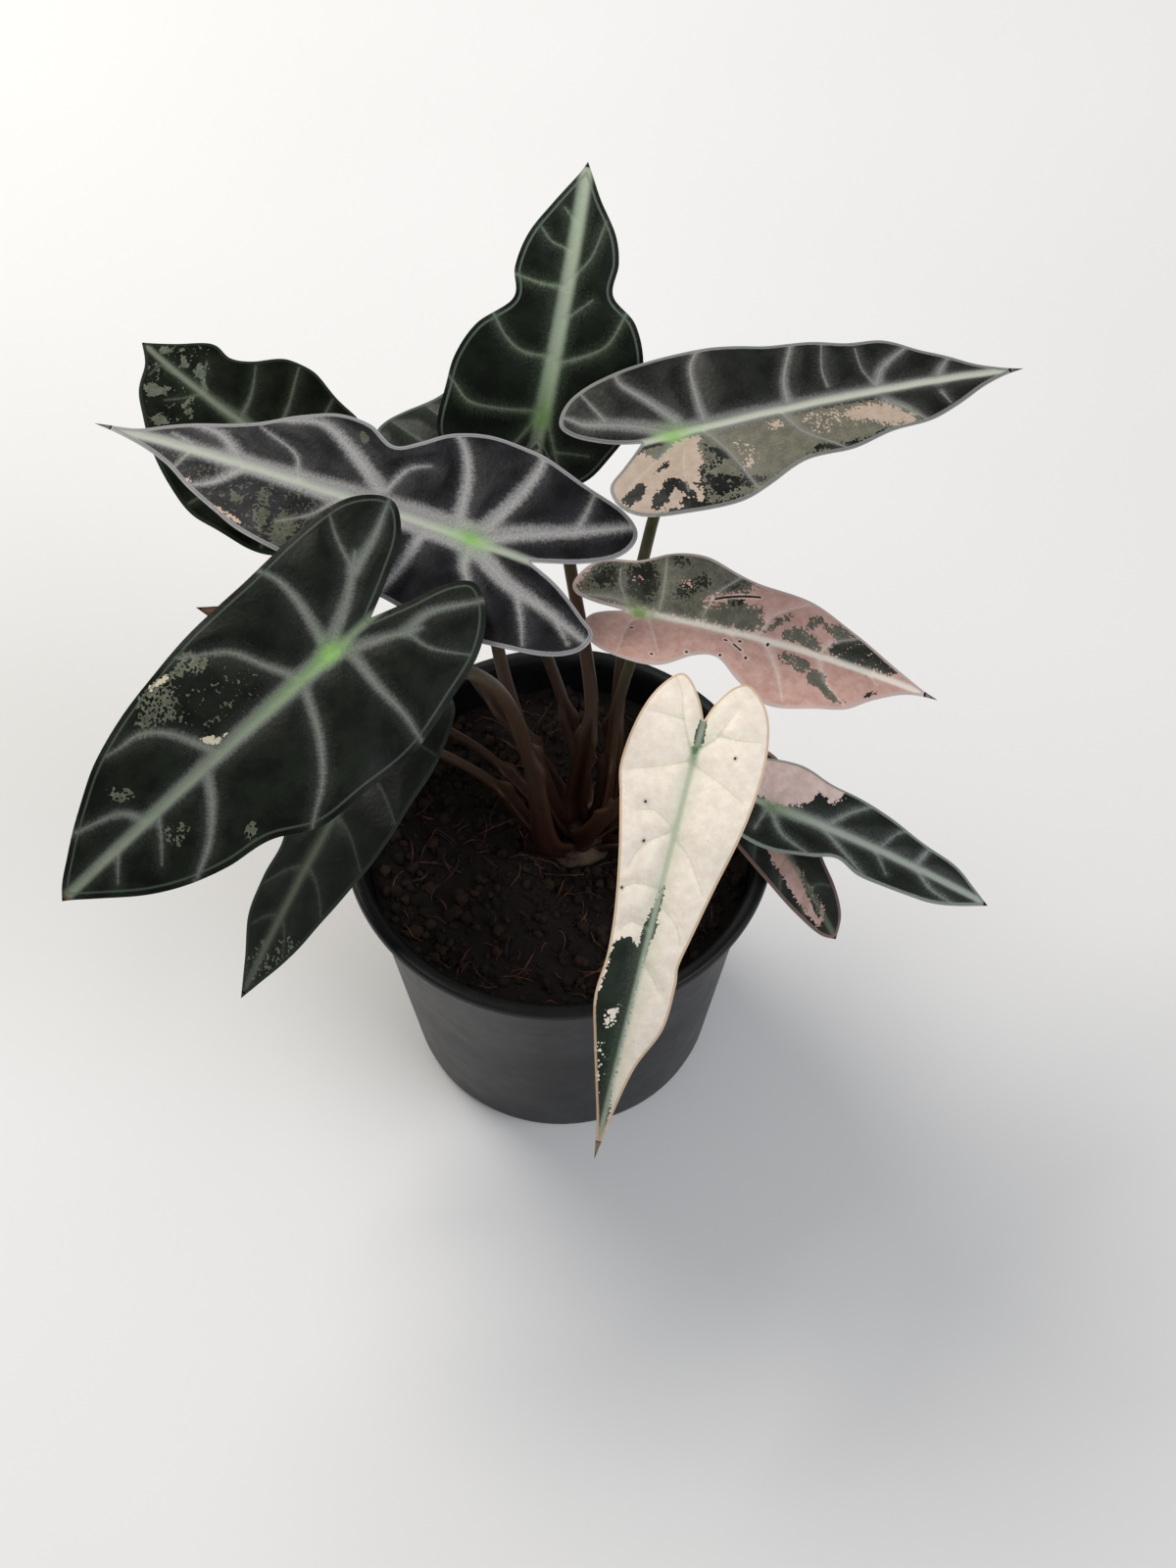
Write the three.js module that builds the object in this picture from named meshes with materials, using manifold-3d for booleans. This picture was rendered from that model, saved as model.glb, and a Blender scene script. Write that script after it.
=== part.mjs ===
// A potted variegated bambino alocasia: twelve arrowhead leaf blades on their stalks, the short
// stem that the stalks grow from, the potting soil and a plain black nursery pot.
// Millimetres, +Z up, the origin at the centre of the pot's base. The plant's front is -Y.

import * as THREE from 'three';
import { mergeVertices } from 'three/addons/utils/BufferGeometryUtils.js';
import Module from 'manifold-3d';

const wasm = await Module();
wasm.setup();

// Driving dimensions of the pot
const POT_HEIGHT = 100;
const RIM_RADIUS = 60;
const RIM_LIP = 4;
const RIM_DEPTH = 3;
const BASE_RADIUS = 44;
const WALL = 1.2;
const FLOOR_LIFT = 3;
const PAD_RADIUS = 22;
const DRAIN_HOLES = 8;
const DRAIN_RADIUS = 3.5;
const DRAIN_CIRCLE = 31;
const POT_SIDES = 48;

// Driving dimensions of the soil and of the stem that stands in it
const GAP = 0.3;
const SOIL_TOP = 88;
const SOIL_LUMP = 0.7;
const SOIL_SIDES = 40;
const STEM_CENTRE = [5, 3, 83];
const STEM_RADIUS = 11;
const STEM_SIDES = 20;

// Driving dimensions that all blades and stalks share
const BLADE_THICKNESS = 0.8;
const ROWS_PER_VEIN = 3;
const COLUMNS = 3;
const PUFF = 0.9;
const CURL = 2;
const VEIN_BOW = 1.5;
const BOWED_FROM = 2 * ROWS_PER_VEIN;
const FULL_PUFF_WIDTH = 12;
const STALK_SIDES = 8;
const STALK_STEPS = 12;
const STALK_SEAT = 6;

// Each leaf: foot is where the stalk meets the blade. azimuth, pitch and roll turn the midrib,
// arch and bend curve it down and sideways over its length, fold lifts both halves from it (degrees).
// left and right are the outline points of the two halves from the sinus behind the foot to the
// tip, as [ahead of the foot, out from the midrib]. veins are the side veins, each as [start on
// the midrib, left outline point, right outline point], where 2.5 is halfway from point 2 to 3.
// wave is the margin's [rise, waves along the blade, phase]. base is the stalk's [azimuth,
// elevation] on the stem, via the points it passes, and radii its thickness at base and blade.
const LEAVES = {
  top: {
    foot: [-4, 59, 205], azimuth: 67, pitch: 60, roll: 15, arch: 42, bend: -4, fold: 6, length: 68,
    left: [[-7, 0], [-15, 5], [-21, 12], [-19, 20], [-9, 26], [4, 26], [13, 25], [22, 21], [30, 13],
      [38, 14], [47, 12], [56, 7], [64, 2], [68, 0]],
    right: [[-7, 0], [-13, 5], [-17, 10], [-14, 15], [-7, 19], [5, 23.5], [19, 23], [29, 19], [35, 12],
      [43, 12], [50, 10], [58, 5], [64, 2], [68, 0]],
    veins: [[-5, 2.3, 2.3], [-2, 3.9, 3.9], [1, 5.2, 5.2], [17, 7.1, 7.2], [33, 8.4, 8.5],
      [43, 9.9, 10.1], [55, 11.2, 11.2]],
    wave: [0.8, 2.5, 0.1], base: [95, 66], via: [[9, 13, 140], [3, 43, 165]], radii: [2.2, 1.6],
    colour: 0x24402a,
  },
  upper_right: {
    foot: [29, 40, 222], azimuth: 15, pitch: 4, roll: 2, arch: 12, bend: 0, fold: 10, length: 94,
    left: [[-8, 0], [-17, 3], [-24, 7.5], [-26, 12], [-21, 18], [-10, 21], [3, 23], [15, 22], [28, 19.5],
      [40, 18], [50, 15], [60, 14], [70, 9], [80, 4], [88, 1.2], [94, 0]],
    right: [[-8, 0], [-14, 6], [-19, 11], [-18, 18], [-12, 23], [0, 26], [11, 25], [20, 22], [30, 18],
      [42, 17], [54, 14], [64, 13], [73, 9], [82, 4], [89, 1.2], [94, 0]],
    veins: [[-5, 2.9, 2.6], [-1, 4.9, 4.3], [8, 6.7, 6.2], [29, 8.6, 8.2], [54, 11.3, 11.2],
      [70, 12.5, 12.4]],
    wave: [1.0, 3, 0.3], base: [45, 40], via: [[17, 20, 150], [24, 34, 190]], radii: [2.1, 1.5],
    colour: 0x3a4a38,
  },
  upper_left: {
    foot: [-21, 15, 212], azimuth: 160, pitch: 6, roll: -8, arch: 16, bend: 2, fold: 8, length: 106,
    left: [[-16, 0], [-25, 4], [-33, 9.5], [-37, 13], [-35, 19], [-27, 24], [-14, 26], [1, 26.5],
      [15, 24], [29, 22.5], [44, 21], [54, 19], [64, 15], [73, 11], [82, 6], [94, 2], [106, 0]],
    right: [[-16, 0], [-27, 4], [-36, 10], [-38, 17], [-32, 22], [-19, 25], [-7, 28], [5, 29], [14, 26],
      [22, 20], [28, 17], [36, 21], [45, 21], [54, 17], [66, 11], [80, 7], [93, 2], [106, 0]],
    veins: [[-13, 3.4, 2.8], [-8, 5, 4.7], [-3, 6.8, 6], [6, 8, 8], [27, 10.6, 12.3], [48, 12.2, 13.6],
      [68, 13.3, 14.8], [86, 14.8, 15.8]],
    wave: [1.1, 3, 0.6], base: [170, 66], via: [[-14, 15, 150], [-18, 18, 185]], radii: [2.2, 1.6],
    colour: 0x3b4248,
  },
  back_left: {
    foot: [-75, 73, 175], azimuth: 147, pitch: 11, roll: -6, arch: 20, bend: 16, fold: 4, length: 54,
    left: [[-9, 0], [-18, 5], [-24, 12], [-22, 21], [-12, 28], [3, 30], [15, 27], [25, 22], [34, 16],
      [41, 11], [47, 4], [54, 0]],
    right: [[-9, 0], [-17, 5], [-20, 12], [-14, 19], [-2, 22], [8, 24], [17, 23], [24, 16], [30, 13],
      [38, 13], [46, 6], [54, 0]],
    veins: [[-7, 2.2, 2.2], [-3, 4, 3.9], [3, 5.5, 5.5], [14, 6.8, 6.9], [26, 8, 8.5], [38, 9.3, 9.4]],
    wave: [1.2, 2.5, 0.0], base: [115, 40], via: [[-22, 30, 125], [-52, 57, 158]], radii: [1.8, 1.3],
    colour: 0x2c3f2a,
  },
  left: {
    foot: [-54.5, -21, 214.5], azimuth: 222, pitch: -12, roll: -18, arch: 28, bend: 3, fold: 4, length: 90.5,
    left: [[-13.5, 0], [-23, 3], [-33.5, 6], [-38.5, 10.5], [-35.5, 17.5], [-27, 24], [-14.5, 28],
      [0, 31.5], [15.5, 31], [29, 30], [40.5, 24], [52, 22], [62.5, 18.5], [72, 13.5], [81.5, 6.5],
      [87.5, 2], [90.5, 0]],
    right: [[-13.5, 0], [-24, 5], [-33.5, 10.5], [-38.5, 17.5], [-35.5, 23], [-27, 27], [-13.5, 28],
      [2, 27], [19, 27], [34.5, 25], [48, 23], [61.5, 18.5], [73, 12.5], [82.5, 6.5], [87.5, 3],
      [90.5, 0]],
    veins: [[-10.5, 3.5, 3.4], [-6, 5.3, 5.1], [-2, 7, 6.8], [12.5, 9.1, 8.5], [40.5, 11.6, 10.5],
      [56.5, 12.7, 11.5], [69, 13.8, 12.4]],
    wave: [1.0, 3, 0.2], base: [217, 50], via: [[-8, 1, 135], [-20, -6, 183]], radii: [2.6, 1.7],
    colour: 0x1f3524,
  },
  right: {
    foot: [21, 12, 185], azimuth: 349, pitch: -2, roll: -3, arch: 20, bend: 0, fold: 12, length: 81,
    left: [[-4, 0], [-11, 1], [-17, 3], [-18, 7], [-13, 13], [-3, 16], [5, 20], [13, 20], [23, 18],
      [34, 16], [46, 14], [56, 10], [66, 5], [74, 2], [81, 0]],
    right: [[-4, 0], [-11, 2.5], [-13, 7], [-10, 13], [-2, 17], [8, 16], [16, 11], [22, 10], [28, 16],
      [36, 20], [47, 19], [56, 15], [64, 8], [73, 2], [81, 0]],
    veins: [[-3, 3, 2.2], [0, 5, 3.8], [8, 7, 5.5], [20, 8.5, 7.6], [33, 9.6, 9.2], [47, 10.8, 10.6],
      [61, 12, 11.8]],
    wave: [1.2, 3, 0.4], base: [10, 66], via: [[16, 13, 140], [20, 14, 165]], radii: [2.0, 1.4],
    colour: 0xa9858a,
  },
  front: {
    foot: [35, -28.5, 183], azimuth: 255, pitch: -16, roll: -5, arch: 40, bend: 0, fold: 10, length: 109,
    left: [[-8, 0], [-13.5, 2], [-18.5, 5.5], [-19.5, 9.5], [-13.5, 15], [-4, 17.5], [8, 17.5],
      [19.5, 16], [33, 13], [45.5, 10.5], [53.5, 9], [58.5, 9.5], [70, 9], [81.5, 4.5], [94.5, 2],
      [109, 0]],
    right: [[-8, 0], [-12.5, 2], [-17.5, 5.5], [-18.5, 9], [-12.5, 13.5], [-3, 16.5], [8, 17.5],
      [16.5, 15.5], [29, 12.5], [43, 10], [54.5, 9], [66, 9.5], [77, 7], [88.5, 4], [99, 1.5],
      [109, 0]],
    veins: [[-6, 3.4, 3.2], [-1, 5.2, 5], [8, 7, 6.9], [21.5, 8.5, 8.4], [37, 9.6, 9.6],
      [52.5, 11, 10.9], [68, 12.4, 12.2], [83.5, 13.6, 13.3]],
    wave: [0.7, 3, 0.5], base: [290, 66], via: [[17, -9, 127], [29, -18, 161]], radii: [2.1, 1.5],
    colour: 0xe3dccb,
  },
  lower_right: {
    foot: [57, -11, 128], azimuth: 341, pitch: -9, roll: 0, arch: 20, bend: -3, fold: 12, length: 66,
    left: [[-5, 0], [-10, 3], [-13, 8], [-7, 13], [3, 14.5], [12, 13], [21, 12.5], [31, 10.5], [42, 8],
      [53, 6], [60, 3], [66, 0]],
    right: [[-5, 0], [-11, 4], [-12, 9], [-5, 12.5], [5, 13], [14, 11], [21, 8], [28, 10], [38, 10],
      [48, 8.5], [57, 5], [66, 0]],
    veins: [[-4, 2.2, 2.2], [-1, 3.4, 3.4], [5, 4.8, 4.9], [15, 6.2, 6.5], [28, 7.4, 7.8], [41, 8.6, 9]],
    wave: [0.8, 2.5, 0.7], base: [10, 40], via: [[28, 5, 110], [44, -5, 123]], radii: [1.8, 1.3],
    colour: 0x2a4231,
  },
  low_right: {
    foot: [53, -1, 115], azimuth: 307, pitch: -24, roll: 8, arch: 40, bend: -4, fold: 6, length: 49,
    left: [[-5, 0], [-10, 3], [-13, 8], [-7, 12], [4, 12.5], [15, 10], [25, 8], [34, 7], [43, 4.5],
      [49, 0]],
    right: [[-5, 0], [-11, 4], [-12, 9], [-5, 12], [6, 11], [17, 9.5], [27, 8], [36, 6], [44, 3.5],
      [49, 0]],
    veins: [[-4, 2.2, 2.2], [-1, 3.4, 3.4], [7, 4.9, 4.8], [18, 6, 6], [30, 7.2, 7.2]],
    wave: [0.6, 2, 0.2], base: [335, 40], via: [[30, -4, 98], [46, -1, 105]], radii: [1.6, 1.2],
    colour: 0x6e5a55,
  },
  lower_left: {
    foot: [-48, 2, 140], azimuth: 238, pitch: -19, roll: 4, arch: 32, bend: 8, fold: 6, length: 81,
    left: [[-8, 0], [-15, 4], [-20, 9], [-16, 15], [-4, 17.5], [8, 17.5], [20, 17.5], [34, 15], [48, 12],
      [62, 8], [74, 3], [81, 0]],
    right: [[-8, 0], [-15, 4], [-20, 9], [-17, 15], [-5, 17], [8, 17], [20, 16], [35, 10], [47, 10],
      [59, 8.5], [70, 4], [81, 0]],
    veins: [[-6, 2.4, 2.4], [-1, 4, 4], [8, 5.8, 5.8], [22, 7, 7], [38, 8.2, 8.4], [54, 9.3, 9.4]],
    wave: [0.8, 2.5, 0.4], base: [181, 40], via: [[-18, 10, 105], [-38, 12, 122]], radii: [1.8, 1.2],
    colour: 0x1d2c20,
  },
  behind: {
    foot: [-24, 66, 172], azimuth: 78, pitch: 8, roll: 0, arch: 16, bend: 0, fold: 6, length: 55,
    left: [[-7, 0], [-14, 4], [-19, 11], [-15, 19], [-5, 25], [6, 27.5], [12, 26], [17, 21.5], [23, 14],
      [31, 9.5], [41, 5.5], [49, 2], [55, 0]],
    right: [[-7, 0], [-14, 4], [-18, 10], [-14, 18], [-3, 23], [9, 24], [19, 22], [27, 17], [35, 11],
      [43, 7], [50, 3], [55, 0]],
    veins: [[-5, 2.4, 2.4], [-1, 4, 4], [4, 6.2, 5.6], [14, 7.6, 6.9], [26, 9, 8.2], [38, 10.4, 9.3]],
    wave: [1.0, 2.5, 0.6], base: [80, 40], via: [[0, 32, 120], [-14, 52, 150]], radii: [1.9, 1.4],
    colour: 0x22382a,
  },
  under_left: {
    foot: [-51, 27, 132], azimuth: 150, pitch: 6, roll: 0, arch: 26, bend: 0, fold: 8, length: 60,
    left: [[-5, 0], [-11, 3], [-15, 8], [-12, 14], [-2, 17], [9, 17], [20, 14], [31, 11], [42, 7], [51, 3],
      [60, 0]],
    right: [[-5, 0], [-11, 3], [-14, 8], [-11, 14], [-1, 16], [10, 16], [21, 13], [32, 10], [43, 6],
      [52, 2.5], [60, 0]],
    veins: [[-4, 2.2, 2.2], [0, 4, 4], [8, 5.3, 5.3], [21, 6.6, 6.6], [34, 7.8, 7.8]],
    wave: [1.0, 2.5, 0.9], base: [148, 40], via: [[-20, 19, 106], [-36, 23, 118]], radii: [1.7, 1.1],
    colour: 0x3c3a28,
  },
};

const STALK_COLOUR = 0x5d5138;

// Helpers for vectors and for closed bodies

const { degToRad, lerp } = THREE.MathUtils;
const vector = (point) => new THREE.Vector3(...point);

function direction(azimuth, elevation) {
  const turn = degToRad(azimuth);
  const lift = degToRad(elevation);
  return vector([Math.cos(lift) * Math.cos(turn), Math.cos(lift) * Math.sin(turn), Math.sin(lift)]);
}

// Joins corners that meet and leaves out the triangles that this closes up.
function closeUp(geometry) {
  geometry.deleteAttribute('normal');
  geometry.deleteAttribute('uv');
  const merged = mergeVertices(geometry, 1e-4);
  const corners = merged.index.array;
  const kept = [];
  for (let k = 0; k < corners.length; k += 3) {
    const [a, b, c] = corners.slice(k, k + 3);
    if (a !== b && b !== c && c !== a) kept.push(a, b, c);
  }
  merged.setIndex(kept);
  return merged;
}

function toSolid(geometry) {
  const closed = closeUp(geometry);
  return new wasm.Manifold(new wasm.Mesh({
    numProp: 3,
    vertProperties: new Float32Array(closed.attributes.position.array),
    triVerts: new Uint32Array(closed.index.array),
  }));
}

function toGeometry(solid) {
  const mesh = solid.getMesh();
  const geometry = new THREE.BufferGeometry();
  geometry.setAttribute('position', new THREE.BufferAttribute(mesh.vertProperties, 3));
  geometry.setIndex(new THREE.BufferAttribute(mesh.triVerts, 1));
  return geometry;
}

function piece(name, geometry, colour, roughness) {
  const material = new THREE.MeshStandardMaterial({ color: colour, roughness, metalness: 0 });
  geometry.computeVertexNormals();
  const mesh = new THREE.Mesh(geometry, material);
  mesh.name = name;
  return mesh;
}

// A profile of [radius, height] points turned about the pot's axis.
function turned(profile, sides) {
  const points = profile.map(([radius, height]) => new THREE.Vector2(radius, height));
  return new THREE.LatheGeometry(points, sides).rotateX(Math.PI / 2);
}

// Pot, soil and stem

// The pot's outer wall radius under the rim falls evenly to the base.
function wallRadius(height) {
  const top = RIM_RADIUS - RIM_LIP;
  return BASE_RADIUS + (top - BASE_RADIUS) * (height / (POT_HEIGHT - RIM_DEPTH));
}

function buildPot() {
  const band = POT_HEIGHT - RIM_DEPTH;
  const inside = (height) => wallRadius(height) - WALL;
  const shell = toSolid(turned([
    [0, 0],
    [PAD_RADIUS, 0],
    [PAD_RADIUS + 1, FLOOR_LIFT],
    [BASE_RADIUS - 5, FLOOR_LIFT],
    [BASE_RADIUS - 4, 0],
    [BASE_RADIUS - 1, 0],
    [wallRadius(3), 3],
    [wallRadius(band), band],
    [RIM_RADIUS - 0.6, band],
    [RIM_RADIUS, band + 0.8],
    [RIM_RADIUS - 0.3, POT_HEIGHT - 0.4],
    [RIM_RADIUS - 1.2, POT_HEIGHT],
    [RIM_RADIUS - RIM_LIP, POT_HEIGHT - 0.6],
    [inside(band - 1), band - 1],
    [inside(FLOOR_LIFT + WALL), FLOOR_LIFT + WALL],
    [PAD_RADIUS, FLOOR_LIFT + WALL],
    [PAD_RADIUS - 1, WALL],
    [0, WALL],
  ], POT_SIDES));
  const drain = new THREE.CylinderGeometry(DRAIN_RADIUS, DRAIN_RADIUS, 20, 12).rotateX(Math.PI / 2);
  let pot = shell;
  for (let k = 0; k < DRAIN_HOLES; k += 1) {
    const angle = (k + 0.5) * 2 * Math.PI / DRAIN_HOLES;
    const hole = drain.clone().translate(DRAIN_CIRCLE * Math.cos(angle), DRAIN_CIRCLE * Math.sin(angle), 0);
    pot = pot.subtract(toSolid(hole));
  }
  return piece('pot', toGeometry(pot), 0x17181a, 0.5);
}

// The stem is a knob with a tapered foot, both turned about its own centre.
function stemProfile(grow) {
  const radius = STEM_RADIUS + grow;
  const dome = [];
  for (let k = 0; k <= 8; k += 1) {
    const angle = -0.25 * Math.PI + 0.75 * Math.PI * (k / 8);
    dome.push([radius * Math.cos(angle), radius * Math.sin(angle)]);
  }
  dome[8][0] = 0;
  return [[0, -18 - grow], [3 + grow, -18 - grow], ...dome];
}

function buildStem(grow) {
  return turned(stemProfile(grow), STEM_SIDES).translate(...STEM_CENTRE);
}

// Low lumps that fade out towards the pot's wall and around the stem.
function soilLump(x, y) {
  const fromStem = Math.hypot(x - STEM_CENTRE[0], y - STEM_CENTRE[1]);
  const calm = Math.min(1, Math.max(0, fromStem / STEM_RADIUS - 1.3));
  const ripple = Math.sin(0.21 * x + 1.1) * Math.cos(0.17 * y - 0.6) + 0.6 * Math.sin(0.39 * (x + y));
  return SOIL_LUMP * calm * ripple;
}

function buildSoil() {
  const floor = FLOOR_LIFT + WALL + GAP;
  const outer = (height) => wallRadius(height) - WALL - GAP - 0.15;
  const edge = outer(SOIL_TOP);
  const profile = [
    [0, WALL + GAP],
    [PAD_RADIUS - 1.4, WALL + GAP],
    [PAD_RADIUS - 0.4, floor],
    [outer(floor), floor],
    [edge, SOIL_TOP],
  ];
  for (let radius = edge - 6; radius > 2; radius -= 7) profile.push([radius, SOIL_TOP]);
  profile.push([0, SOIL_TOP]);
  const body = closeUp(turned(profile, SOIL_SIDES));
  const place = body.attributes.position;
  for (let k = 0; k < place.count; k += 1) {
    if (place.getZ(k) > SOIL_TOP - 1) place.setZ(k, SOIL_TOP + soilLump(place.getX(k), place.getY(k)));
  }
  const hole = toSolid(buildStem(GAP));
  return piece('soil', toGeometry(toSolid(body).subtract(hole)), 0x221814, 0.95);
}

// Blades

// The blade's own axes: the midrib is an arc from the foot, in the plane that arch and bend give.
class BladeForm {
  constructor(leaf) {
    this.ahead = direction(leaf.azimuth, leaf.pitch);
    this.across = direction(leaf.azimuth - 90, 0).applyAxisAngle(this.ahead, degToRad(leaf.roll));
    this.normal = new THREE.Vector3().crossVectors(this.across, this.ahead);
    const arch = degToRad(leaf.arch);
    const bend = degToRad(leaf.bend);
    const total = Math.hypot(arch, bend);
    this.curvature = total / leaf.length;
    this.inward = this.across.clone().multiplyScalar(bend / total);
    this.inward.addScaledVector(this.normal, -arch / total);
    this.hinge = new THREE.Vector3().crossVectors(this.ahead, this.inward);
    this.foot = vector(leaf.foot);
    this.leaf = leaf;
    this.rise = Math.tan(degToRad(leaf.fold));
    this.breadth = Math.max(...leaf.left.concat(leaf.right).map((point) => point[1]));
  }

  // A direction of the foot's axes, carried along the arc to a distance ahead.
  carried(axis, ahead) {
    return axis.clone().applyAxisAngle(this.hinge, this.curvature * ahead);
  }

  // Height over the midrib's plane: the fold, the turned-down margin and its waves.
  height(ahead, out) {
    const share = Math.abs(out) / this.breadth;
    const [rise, count, phase] = this.leaf.wave;
    const shift = out > 0 ? 0 : 2;
    const turns = count * ahead / this.leaf.length + phase;
    const wave = rise * Math.sin(2 * Math.PI * turns + shift);
    return Math.abs(out) * this.rise + (wave - CURL) * share ** 2;
  }

  point(ahead, out, lift) {
    const turn = this.curvature * ahead;
    return this.foot.clone()
      .addScaledVector(this.ahead, Math.sin(turn) / this.curvature)
      .addScaledVector(this.inward, (1 - Math.cos(turn)) / this.curvature)
      .addScaledVector(this.carried(this.across, ahead), out)
      .addScaledVector(this.carried(this.normal, ahead), this.height(ahead, out) + lift);
  }
}

// One half of a blade as rows of [ahead, out, puff] from the midrib to the margin. Every third row
// runs along a side vein, and the blade puffs up between the veins. The rows bow back as the veins
// do, but not near the sinus, where a bowed row would reach past the margin.
function halfRows(leaf, side) {
  const outline = side < 0 ? leaf.left : leaf.right;
  const margin = new THREE.SplineCurve(outline.map(([ahead, out]) => new THREE.Vector2(ahead, out)));
  const last = outline.length - 1;
  const stations = [[outline[0][0], 0], ...leaf.veins.map((vein) => [vein[0], side < 0 ? vein[1] : vein[2]]),
    [leaf.length, last]];
  const rows = [];
  const count = (stations.length - 1) * ROWS_PER_VEIN;
  for (let k = 0; k <= count; k += 1) {
    const vein = Math.min(Math.floor(k / ROWS_PER_VEIN), stations.length - 2);
    const between = k / ROWS_PER_VEIN - vein;
    const start = lerp(stations[vein][0], stations[vein + 1][0], between);
    const end = margin.getPoint(lerp(stations[vein][1], stations[vein + 1][1], between) / last);
    const room = Math.min(1, end.y / FULL_PUFF_WIDTH);
    const bow = VEIN_BOW * Math.min(1, k / BOWED_FROM) ** 2;
    const row = [];
    for (let column = 0; column <= COLUMNS; column += 1) {
      const share = column / COLUMNS;
      const middle = 4 * share * (1 - share) * room;
      const puff = PUFF * middle * Math.sin(Math.PI * between) ** 2;
      row.push([lerp(start, end.x, share) - bow * middle, side * end.y * share, puff]);
    }
    rows.push(row);
  }
  return rows;
}

// Both halves as one closed sheet: the same triangles above and below, and a rim along the margin.
function buildBlade(name, leaf) {
  const form = new BladeForm(leaf);
  const corners = [];
  const triangle = (...points) => points.forEach((point) => corners.push(...point.toArray()));
  for (const side of [-1, 1]) {
    const rows = halfRows(leaf, side);
    const layer = (lift) => rows.map((row) => row.map(
      ([ahead, out, puff]) => form.point(ahead, out, puff + lift)));
    const above = layer(BLADE_THICKNESS / 2);
    const below = layer(-BLADE_THICKNESS / 2);
    const facing = (a, b, c) => (side > 0 ? triangle(a, b, c) : triangle(a, c, b));
    for (let i = 0; i + 1 < rows.length; i += 1) {
      for (let j = 0; j < COLUMNS; j += 1) {
        facing(above[i][j], above[i][j + 1], above[i + 1][j + 1]);
        facing(above[i][j], above[i + 1][j + 1], above[i + 1][j]);
        facing(below[i][j], below[i + 1][j + 1], below[i][j + 1]);
        facing(below[i][j], below[i + 1][j], below[i + 1][j + 1]);
      }
      facing(above[i][COLUMNS], below[i][COLUMNS], below[i + 1][COLUMNS]);
      facing(above[i][COLUMNS], below[i + 1][COLUMNS], above[i + 1][COLUMNS]);
    }
  }
  const geometry = new THREE.BufferGeometry();
  geometry.setAttribute('position', new THREE.Float32BufferAttribute(corners, 3));
  return piece(`blade_${name}`, closeUp(geometry), leaf.colour, 0.45);
}

// Stalks

// A tapered rod from the stem's surface to the underside of the blade, where it arrives square on.
function buildStalk(name, leaf) {
  const form = new BladeForm(leaf);
  const outward = direction(...leaf.base);
  const centre = vector(STEM_CENTRE);
  const start = centre.clone().addScaledVector(outward, STEM_RADIUS + GAP);
  const end = form.point(0, 0, -BLADE_THICKNESS / 2 - GAP);
  const route = new THREE.CatmullRomCurve3([
    start,
    centre.clone().addScaledVector(outward, STEM_RADIUS + STALK_SEAT),
    ...leaf.via.map(vector),
    end.clone().addScaledVector(form.normal, -STALK_SEAT),
    end,
  ]);
  const flatAtStem = new THREE.Plane().setFromNormalAndCoplanarPoint(outward, start);
  const flatAtBlade = new THREE.Plane().setFromNormalAndCoplanarPoint(form.normal, end);
  const frames = route.computeFrenetFrames(STALK_STEPS, false);
  const corners = [];
  for (let k = 0; k <= STALK_STEPS; k += 1) {
    const along = k / STALK_STEPS;
    const centreLine = route.getPointAt(along);
    const radius = lerp(leaf.radii[1], leaf.radii[0], (1 - along) ** 1.6);
    for (let j = 0; j < STALK_SIDES; j += 1) {
      const angle = 2 * Math.PI * j / STALK_SIDES;
      const corner = centreLine.clone()
        .addScaledVector(frames.normals[k], radius * Math.cos(angle))
        .addScaledVector(frames.binormals[k], radius * Math.sin(angle));
      if (k === 0) flatAtStem.projectPoint(corner, corner);
      if (k === STALK_STEPS) flatAtBlade.projectPoint(corner, corner);
      corner.toArray(corners, corners.length);
    }
  }
  const index = [];
  for (let j = 0; j < STALK_SIDES; j += 1) {
    const next = (j + 1) % STALK_SIDES;
    for (let k = 0; k < STALK_STEPS; k += 1) {
      const low = k * STALK_SIDES;
      const high = low + STALK_SIDES;
      index.push(low + j, low + next, high + next, low + j, high + next, high + j);
    }
  }
  const top = STALK_STEPS * STALK_SIDES;
  for (let j = 1; j + 1 < STALK_SIDES; j += 1) {
    index.push(0, j + 1, j);
    index.push(top, top + j, top + j + 1);
  }
  const geometry = new THREE.BufferGeometry();
  geometry.setAttribute('position', new THREE.Float32BufferAttribute(corners, 3));
  geometry.setIndex(index);
  return piece(`stalk_${name}`, geometry, STALK_COLOUR, 0.6);
}

const plant = new THREE.Group();
plant.add(buildPot(), buildSoil(), piece('stem', closeUp(buildStem(0)), STALK_COLOUR, 0.7));
for (const [name, leaf] of Object.entries(LEAVES)) {
  plant.add(buildStalk(name, leaf), buildBlade(name, leaf));
}

export default plant;
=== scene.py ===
"""A potted variegated bambino alocasia, dressed around its fixed frame.

Twelve arrowhead blades stand on their stalks in a plain black nursery pot. Every size in the
tables is in millimetres and becomes metres where a mesh is made. A blade is drawn flat first, in
its own coordinates: ahead of the foot along the midrib, and out from the midrib, left negative.
"""

import logging
import math
from dataclasses import dataclass
from enum import Enum

import bmesh
import bpy
import numpy as np
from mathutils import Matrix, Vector, noise
from mathutils.geometry import delaunay_2d_cdt


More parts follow.
